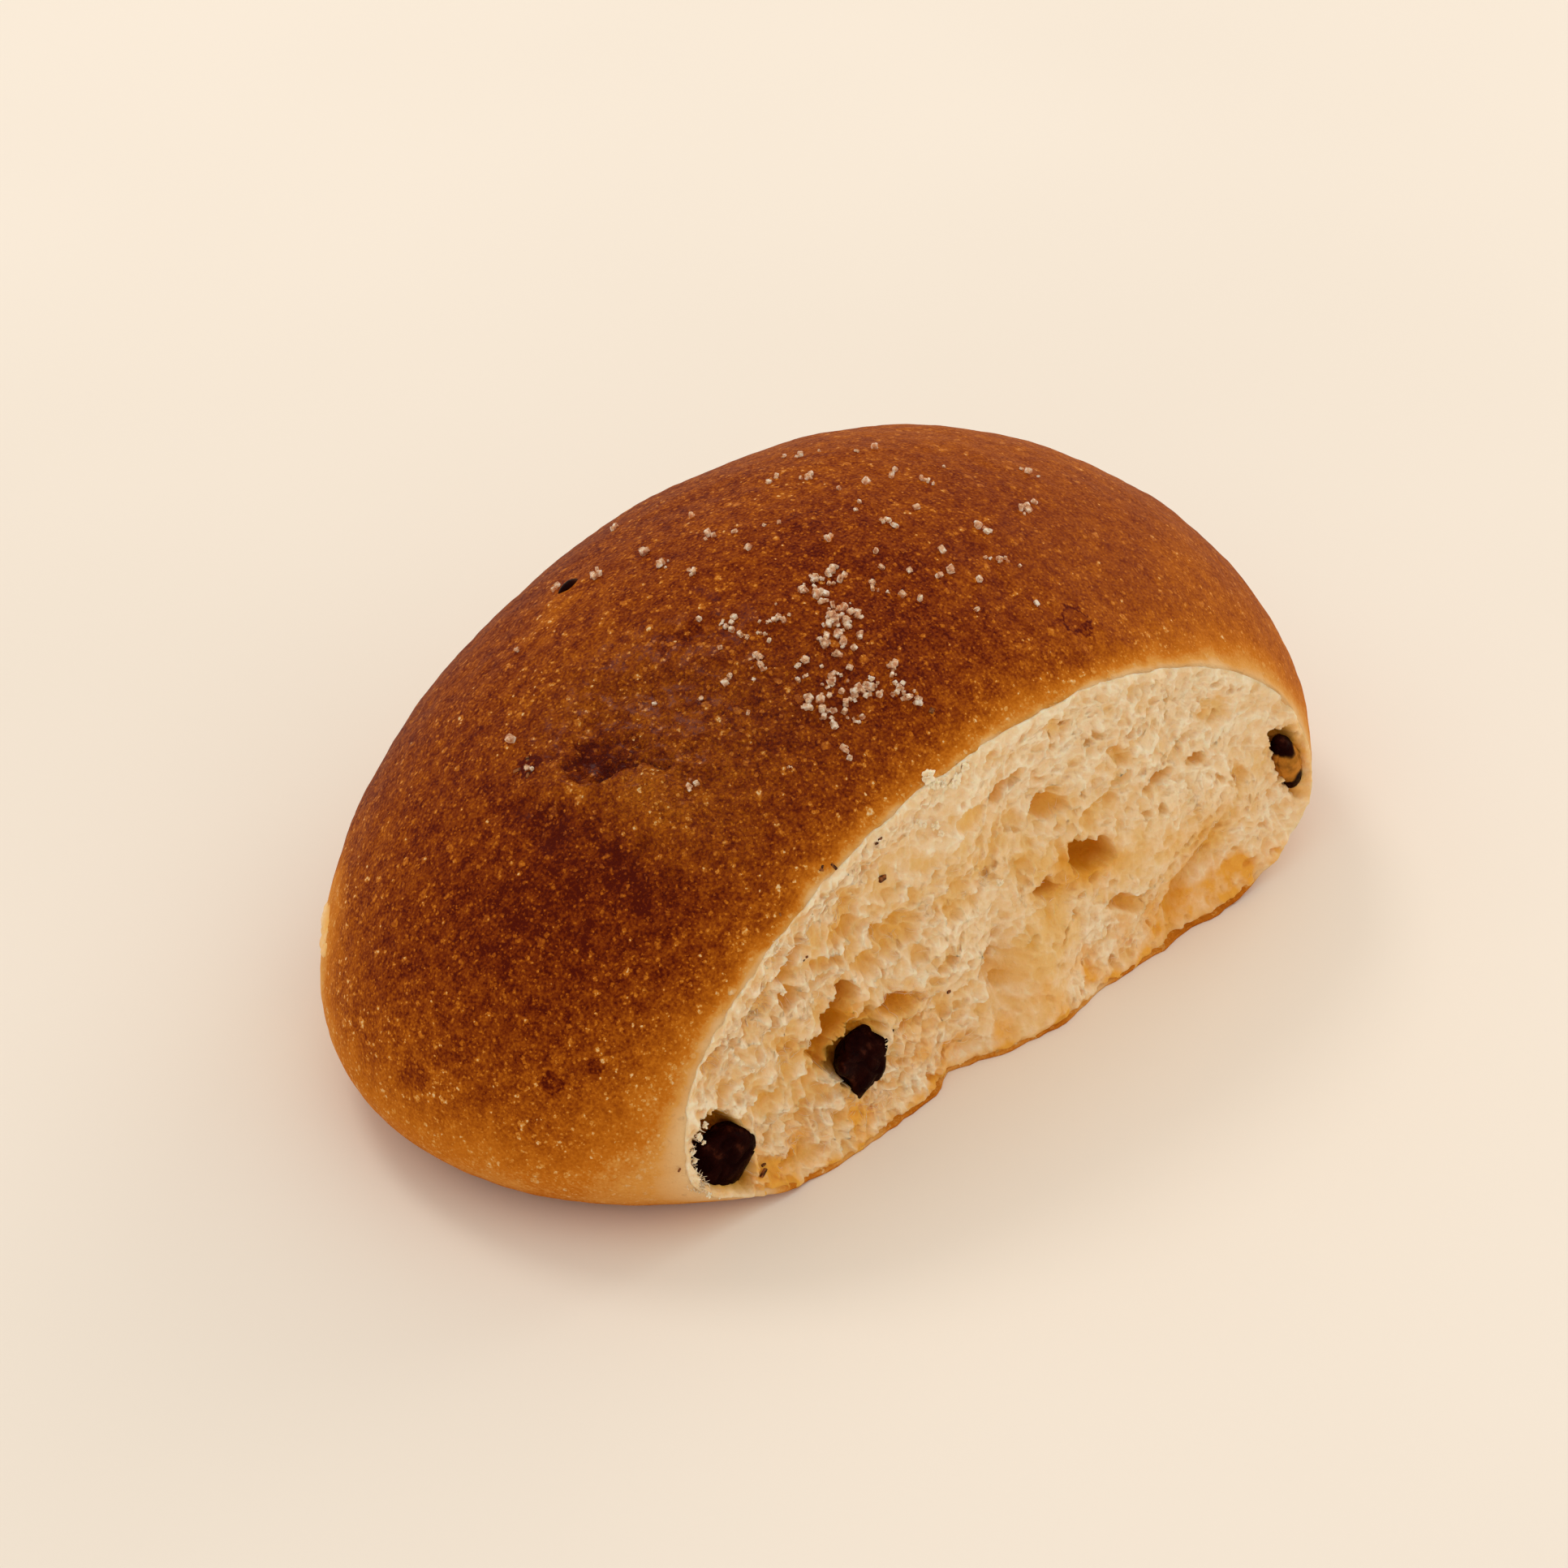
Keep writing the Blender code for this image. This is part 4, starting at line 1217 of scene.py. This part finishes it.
def stain_group():
    """A ragged round spot about a place, with a ring round its edge."""
    inputs = {"X": 0.0, "Y": 0.0, "Z": 0.0, "Radius": 1.0}
    tree, given, result = group("stain", inputs, ["Spot", "Ring"])
    middle = add(tree, "ShaderNodeCombineXYZ", {axis: given[axis] for axis in "XYZ"}).outputs[0]
    ends = {0: spot_in_mm(tree), 1: middle}
    away = add(tree, "ShaderNodeVectorMath", ends, operation="DISTANCE").outputs["Value"]
    wander = calc(tree, "MULTIPLY_ADD", noise_node(tree, 1.1, 2.0)["Fac"], 1.6, -0.8)
    away = calc(tree, "ADD", calc(tree, "DIVIDE", away, given["Radius"]), wander)
    spot = calc(tree, "MULTIPLY_ADD", away, -2.5, 3.0, clamp=True)
    off_edge = calc(tree, "ABSOLUTE", calc(tree, "SUBTRACT", away, 0.85))
    tree.links.new(spot, result["Spot"])
    tree.links.new(calc(tree, "MULTIPLY_ADD", off_edge, -4.5, 1.0, clamp=True), result["Ring"])
    return tree


UNEVEN_TONE = uneven_tone_group()
CRINKLE = crinkle_group()
BEADS = beads_group()
STAIN = stain_group()


def placed(tree, what, **values):
    """The outputs of one of the shared groups, placed with its own values."""
    made = add(tree, "ShaderNodeGroup", node_tree=what)
    for name, value in values.items():
        made.inputs[name].default_value = value
    return made.outputs


def tone_of(tree, size):
    """Smooth light and dark places of about the given size in millimetres, from 0 to 1."""
    return placed(tree, UNEVEN_TONE, Size=size)["Tone"]


def crest_of(tree, size):
    """Sharp crests of about the given size in millimetres, from 0 to 1."""
    return placed(tree, CRINKLE, Size=size)["Crest"]


def ramp(tree, amount, stops):
    """Colours that run through the stops, each a position and a colour."""
    made = add(tree, "ShaderNodeValToRGB", {"Fac": amount})
    points = made.color_ramp.elements
    for element, (position, colour) in zip(points, (stops[0], stops[-1])):
        element.position = position
        element.color = (*colour, 1.0)
    for position, colour in stops[1:-1]:
        points.new(position).color = (*colour, 1.0)
    return made.outputs["Color"]


def stored(tree, name):
    return add(tree, "ShaderNodeAttribute", attribute_name=name).outputs["Fac"]


def finish(name, **constants):
    """A new material, its nodes and its shader, with the values that are the same all over."""
    made = bpy.data.materials.new(name)
    made.use_nodes = True
    shader = made.node_tree.nodes["Principled BSDF"]
    for label, value in constants.items():
        shader.inputs[label.replace("_", " ")].default_value = value
    return made, made.node_tree, shader


def feed(tree, shader, **sockets):
    """Links sockets to the shader's inputs. Height is a bump in millimetres."""
    if "Height" in sockets:
        height = {"Height": sockets.pop("Height"), "Distance": METRE}
        sockets["Normal"] = add(tree, "ShaderNodeBump", height).outputs["Normal"]
    for label, socket in sockets.items():
        tree.links.new(socket, shader.inputs[label.replace("_", " ")])


def blend(tree, share, first, second):
    """The first colour where share is 0, and the second where it is 1."""
    mixed = add(tree, "ShaderNodeMix", {0: share, 6: first, 7: second}, data_type="RGBA")
    return mixed.outputs[2]


CRUST_COLOURS = (
    (0.00, (0.80, 0.52, 0.25)),
    (0.10, (0.70, 0.31, 0.060)),
    (0.22, (0.57, 0.170, 0.010)),
    (0.38, (0.44, 0.112, 0.0040)),
    (0.54, (0.325, 0.070, 0.0022)),
    (0.70, (0.225, 0.038, 0.0012)),
    (0.84, (0.155, 0.0190, 0.0006)),
    (1.00, (0.080, 0.0055, 0.0004)),
)

# Stains of raisins under the crust: middle x, y and z, radius, and how dark the spot and its ring are
STAINS = (
    (13.8, -20.3, 38.9, 1.7, 0.05, 0.35),
    (-34.4, 3.9, 36.0, 1.3, 0.25, 0.35),
    (-15.2, 18.0, 41.0, 1.6, 0.15, 0.45),
    (-48.9, -13.9, 17.2, 1.1, 0.24, 0.12),
    (-54.1, -0.9, 13.6, 1.5, 0.18, 0.08),
    (-46.0, -16.6, 19.0, 0.8, 0.15, 0.1),
)


def crust_finish():
    made, tree, shader = finish("baked_crust", Specular_IOR_Level=0.03, Coat_Roughness=0.2, Coat_IOR=1.4)
    browned_and_shaded, crinkles = stored(tree, "browning"), stored(tree, "crinkled")
    large = placed(tree, BEADS, Spacing=1.5, Share=0.35, Width=0.28)
    small = placed(tree, BEADS, Spacing=0.7, Share=0.6, Width=0.32)
    tiny = placed(tree, BEADS, Spacing=0.36, Share=0.5, Width=0.36)
    tone = tone_of(tree, 1.3)
    grain = tone_of(tree, 0.3)
    coarse = crest_of(tree, 1.1)
    fine = crest_of(tree, 0.45)
    brown_enough = calc(tree, "MULTIPLY_ADD", browned_and_shaded, 3.0, -0.2, clamp=True)
    # Speckles, tone and grain are the crust's own colour; the crest terms are painted light and shade:
    # crests paler, gaps darker.
    golden = total(
        tree, (large["Spot"], -0.36), (small["Spot"], -0.36), (tiny["Spot"], -0.28),
        (tone, 0.32), (grain, 0.42), (calc(tree, "MULTIPLY", fine, crinkles), -0.12),
        (calc(tree, "MULTIPLY", coarse, crinkles), -0.10),
    )
    golden = calc(tree, "MULTIPLY", calc(tree, "ADD", golden, -0.215), stored(tree, "speckled"))
    amount = calc(tree, "MULTIPLY_ADD", golden, brown_enough, browned_and_shaded)
    for x, y, z, radius, spot, ring in STAINS:
        stain = placed(tree, STAIN, X=x + MIDDLE[0], Y=y + MIDDLE[1], Z=z + MIDDLE[2], Radius=radius)
        amount = calc(tree, "MULTIPLY_ADD", stain["Spot"], spot, amount)
        amount = calc(tree, "MULTIPLY_ADD", stain["Ring"], ring, amount)
    rough = total(tree, (browned_and_shaded, -0.3), (crinkles, -0.12), (large["Dome"], -0.1), (grain, 0.15))
    shiny = total(tree, (grain, 0.16), (small["Dome"], 0.3), (large["Dome"], 0.3))
    crinkled_height = calc(tree, "MULTIPLY", crinkles, total(tree, (coarse, 0.12), (fine, 0.10)))
    height = total(
        tree, (large["Dome"], 0.09), (small["Dome"], 0.05), (tiny["Dome"], 0.02),
        (crinkled_height, 1.4), (fine, 0.03), (grain, 0.05),
    )
    feed(
        tree, shader, Base_Color=ramp(tree, amount, CRUST_COLOURS), Roughness=calc(tree, "ADD", rough, 0.72),
        Coat_Weight=calc(tree, "MULTIPLY", shiny, calc(tree, "MULTIPLY_ADD", crinkles, 0.9, 0.2)),
        Height=height,
    )
    return made


# Crumb colours from the pale crests down into the golden hollows: painted shade that deepens with the
# hollow.
CRUMB_COLOURS = (
    (0.00, (0.97, 0.79, 0.54)),
    (0.05, (0.93, 0.70, 0.43)),
    (0.13, (0.90, 0.63, 0.34)),
    (0.26, (0.86, 0.54, 0.21)),
    (0.50, (0.82, 0.43, 0.085)),
    (1.00, (0.70, 0.26, 0.010)),
)
# Colours of toasted crumb, also used for the painted shade of the golden stretches
TOASTED_CRUMB = ((0.15, (0.86, 0.40, 0.056)), (0.8, (0.62, 0.23, 0.007)))
# The depth of hollow in millimetres at which the painted shade is darkest
DEEPEST_HOLLOW = 3.2


def crumb_finish():
    made, tree, shader = finish(
        "torn_crumb", Subsurface_Weight=0.35, Subsurface_Radius=(1.0, 0.6, 0.32), Subsurface_Scale=0.0006,
        Specular_IOR_Level=0.1,
    )
    tone = tone_of(tree, 2.4)
    grain = tone_of(tree, 0.4)
    # Painted shade and random tone: darker and more golden in the hollows.
    amount = total(
        tree, (stored(tree, "hollow"), 1 / DEEPEST_HOLLOW), (calc(tree, "SUBTRACT", tone, 0.5), 0.06),
        (calc(tree, "SUBTRACT", grain, 0.5), 0.05),
    )
    toasted = calc(tree, "MULTIPLY", stored(tree, "toasted"), calc(tree, "ADD", tone, 0.4), clamp=True)
    plain, brown = ramp(tree, amount, CRUMB_COLOURS), ramp(tree, amount, TOASTED_CRUMB)
    feed(
        tree, shader, Base_Color=blend(tree, toasted, plain, brown),
        Roughness=calc(tree, "MULTIPLY_ADD", grain, 0.3, 0.6),
        Height=total(tree, (crest_of(tree, 0.7), 0.045), (crest_of(tree, 0.28), 0.03)),
    )
    return made


RAISIN_COLOURS = (
    (0.25, (0.008, 0.0010, 0.0008)),
    (0.70, (0.016, 0.0026, 0.0014)),
    (1.00, (0.060, 0.0130, 0.0050)),
)
RAISIN_FLESH = (0.52, 0.20, 0.024, 1.0)


def raisin_finish():
    made, tree, shader = finish("raisin_skin", Specular_IOR_Level=0.006, Coat_Roughness=0.25)
    tone = tone_of(tree, 1.4)
    grain = tone_of(tree, 0.25)
    wrinkle = crest_of(tree, 0.6)
    fold = stored(tree, "fold")
    # Painted shade: the skin is coloured darker along its folds.
    amount = total(tree, (tone, 0.85), (grain, 0.15), (fold, -0.15))
    flesh = calc(tree, "MULTIPLY", stored(tree, "flesh"), calc(tree, "ADD", tone, 0.4), clamp=True)
    shiny = calc(tree, "MULTIPLY_ADD", tone, 0.12, -0.07, clamp=True)
    feed(
        tree, shader, Base_Color=blend(tree, flesh, ramp(tree, amount, RAISIN_COLOURS), RAISIN_FLESH),
        Roughness=total(tree, (grain, 0.35), (fold, 0.2), (tone, 0.2)),
        Coat_Weight=calc(tree, "MULTIPLY", shiny, wrinkle),
        Height=total(tree, (wrinkle, 0.025), (grain, 0.012)),
    )
    return made


SUGAR_COLOURS = ((0.1, (0.78, 0.34, 0.15)), (0.5, (1.0, 0.60, 0.35)), (0.85, (1.0, 0.84, 0.65)))
BIT_COLOURS = ((0.3, (0.045, 0.012, 0.004)), (0.7, (0.28, 0.090, 0.022)))
FLOOR_COLOURS = ((0.2, (0.86, 0.77, 0.655)), (0.8, (0.90, 0.81, 0.695)))


def sugar_finish():
    made, tree, shader = finish(
        "sugar_crystal", Subsurface_Weight=0.5, Subsurface_Radius=(1.0, 0.8, 0.6), Subsurface_Scale=0.0004,
        Specular_IOR_Level=0.25,
    )
    grain = tone_of(tree, 0.5)
    feed(
        tree, shader, Base_Color=ramp(tree, grain, SUGAR_COLOURS),
        Roughness=calc(tree, "MULTIPLY_ADD", grain, 0.3, 0.08),
        Alpha=calc(tree, "MULTIPLY_ADD", grain, 0.6, 0.22), Height=total(tree, (grain, 0.05)),
    )
    return made


def bit_finish():
    made, tree, shader = finish("raisin_bit", Specular_IOR_Level=0.1)
    grain = tone_of(tree, 0.4)
    feed(
        tree, shader, Base_Color=ramp(tree, grain, BIT_COLOURS),
        Roughness=calc(tree, "MULTIPLY_ADD", grain, 0.4, 0.35), Height=total(tree, (grain, 0.08)),
    )
    return made


def floor_finish():
    made, tree, shader = finish("pale_floor", Specular_IOR_Level=0.2)
    tone = tone_of(tree, 220.0)
    feed(
        tree, shader, Base_Color=ramp(tree, tone, FLOOR_COLOURS),
        Roughness=calc(tree, "MULTIPLY_ADD", tone, 0.1, 0.6),
    )
    return made


# ---------------------------------------------------------------- floor, light and camera

FLOOR_REACH = 3.0


def make_floor():
    mesh = bpy.data.meshes.new("floor")
    corners = [(x * FLOOR_REACH, y * FLOOR_REACH, 0.0) for x, y in ((-1, -1), (1, -1), (1, 1), (-1, 1))]
    mesh.from_pydata(corners, [], [(0, 1, 2, 3)])
    floor = placed_piece("floor", mesh, floor_finish())


ROOM_COLOUR, ROOM_STRENGTH = (1.0, 0.965, 0.92, 1.0), 0.86
LIGHT_COLOUR = (1.0, 0.97, 0.94)

# Lights: name, place and size in metres, and power in watts
LIGHTS = (
    ("window", (0.02, 0.58, 0.86), 0.3, 1.5),
    ("side_window", (0.95, 0.0, 0.44), 0.7, 2.2),
)


def add_light(name, place, size, power):
    """A round soft light that faces the bun."""
    light = bpy.data.lights.new(name, "AREA")
    light.shape = "DISK"
    light.size = size
    light.energy = power
    light.color = LIGHT_COLOUR
    made = bpy.data.objects.new(name, light)
    made.location = place
    made.rotation_euler = Vector(place).to_track_quat("Z", "Y").to_euler()
    bpy.context.scene.collection.objects.link(made)


def make_light():
    world = bpy.data.worlds.new("soft_room")
    world.use_nodes = True
    background = world.node_tree.nodes["Background"].inputs
    background["Color"].default_value = ROOM_COLOUR
    background["Strength"].default_value = ROOM_STRENGTH
    bpy.context.scene.world = world
    for light in LIGHTS:
        add_light(*light)


CAMERA_AZIMUTH, CAMERA_ELEVATION, CAMERA_DISTANCE = -46.1, 38.26, 481.3
CAMERA_AIM = (-4.0, 0.5, 18.0)
CAMERA_LENS = 114.85
CAMERA_SEES_FROM, CAMERA_SEES_TO = 0.01, 20.0


def make_camera():
    camera = bpy.data.objects.new("camera", bpy.data.cameras.new("camera"))
    bpy.context.scene.collection.objects.link(camera)
    turn, lift = math.radians(CAMERA_AZIMUTH), math.radians(CAMERA_ELEVATION)
    back = Vector((math.sin(turn) * math.cos(lift), -math.cos(turn) * math.cos(lift), math.sin(lift)))
    aim = (Vector(CAMERA_AIM) + Vector(MIDDLE)) * METRE
    camera.location = aim + back * CAMERA_DISTANCE * METRE
    camera.rotation_euler = back.to_track_quat("Z", "Y").to_euler()
    camera.data.lens = CAMERA_LENS
    camera.data.clip_start, camera.data.clip_end = CAMERA_SEES_FROM, CAMERA_SEES_TO
    bpy.context.scene.camera = camera


# ---------------------------------------------------------------- putting it together

def own(piece, slot=None, *nodes):
    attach(piece, "root")
    if nodes:
        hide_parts(*nodes)


face = torn_fields()
crumb_look, raisin_look = crumb_finish(), raisin_finish()
own(make_crust(crust_finish()), "bun", "bun")
own(make_crumb(crumb_look, face), "bun")
own(make_threads(crumb_look, face), "bun")
own(make_crumbs(crumb_look), "bun")
own(make_scar(crumb_look), "bun")
for node, raisin in make_raisins(raisin_look).items():
    own(raisin, "raisin", node)
own(make_sugar(sugar_finish()))
own(make_bits(bit_finish(), face), "raisin")
make_floor()
make_light()
make_camera()
bpy.context.scene.view_settings.view_transform = "Standard"
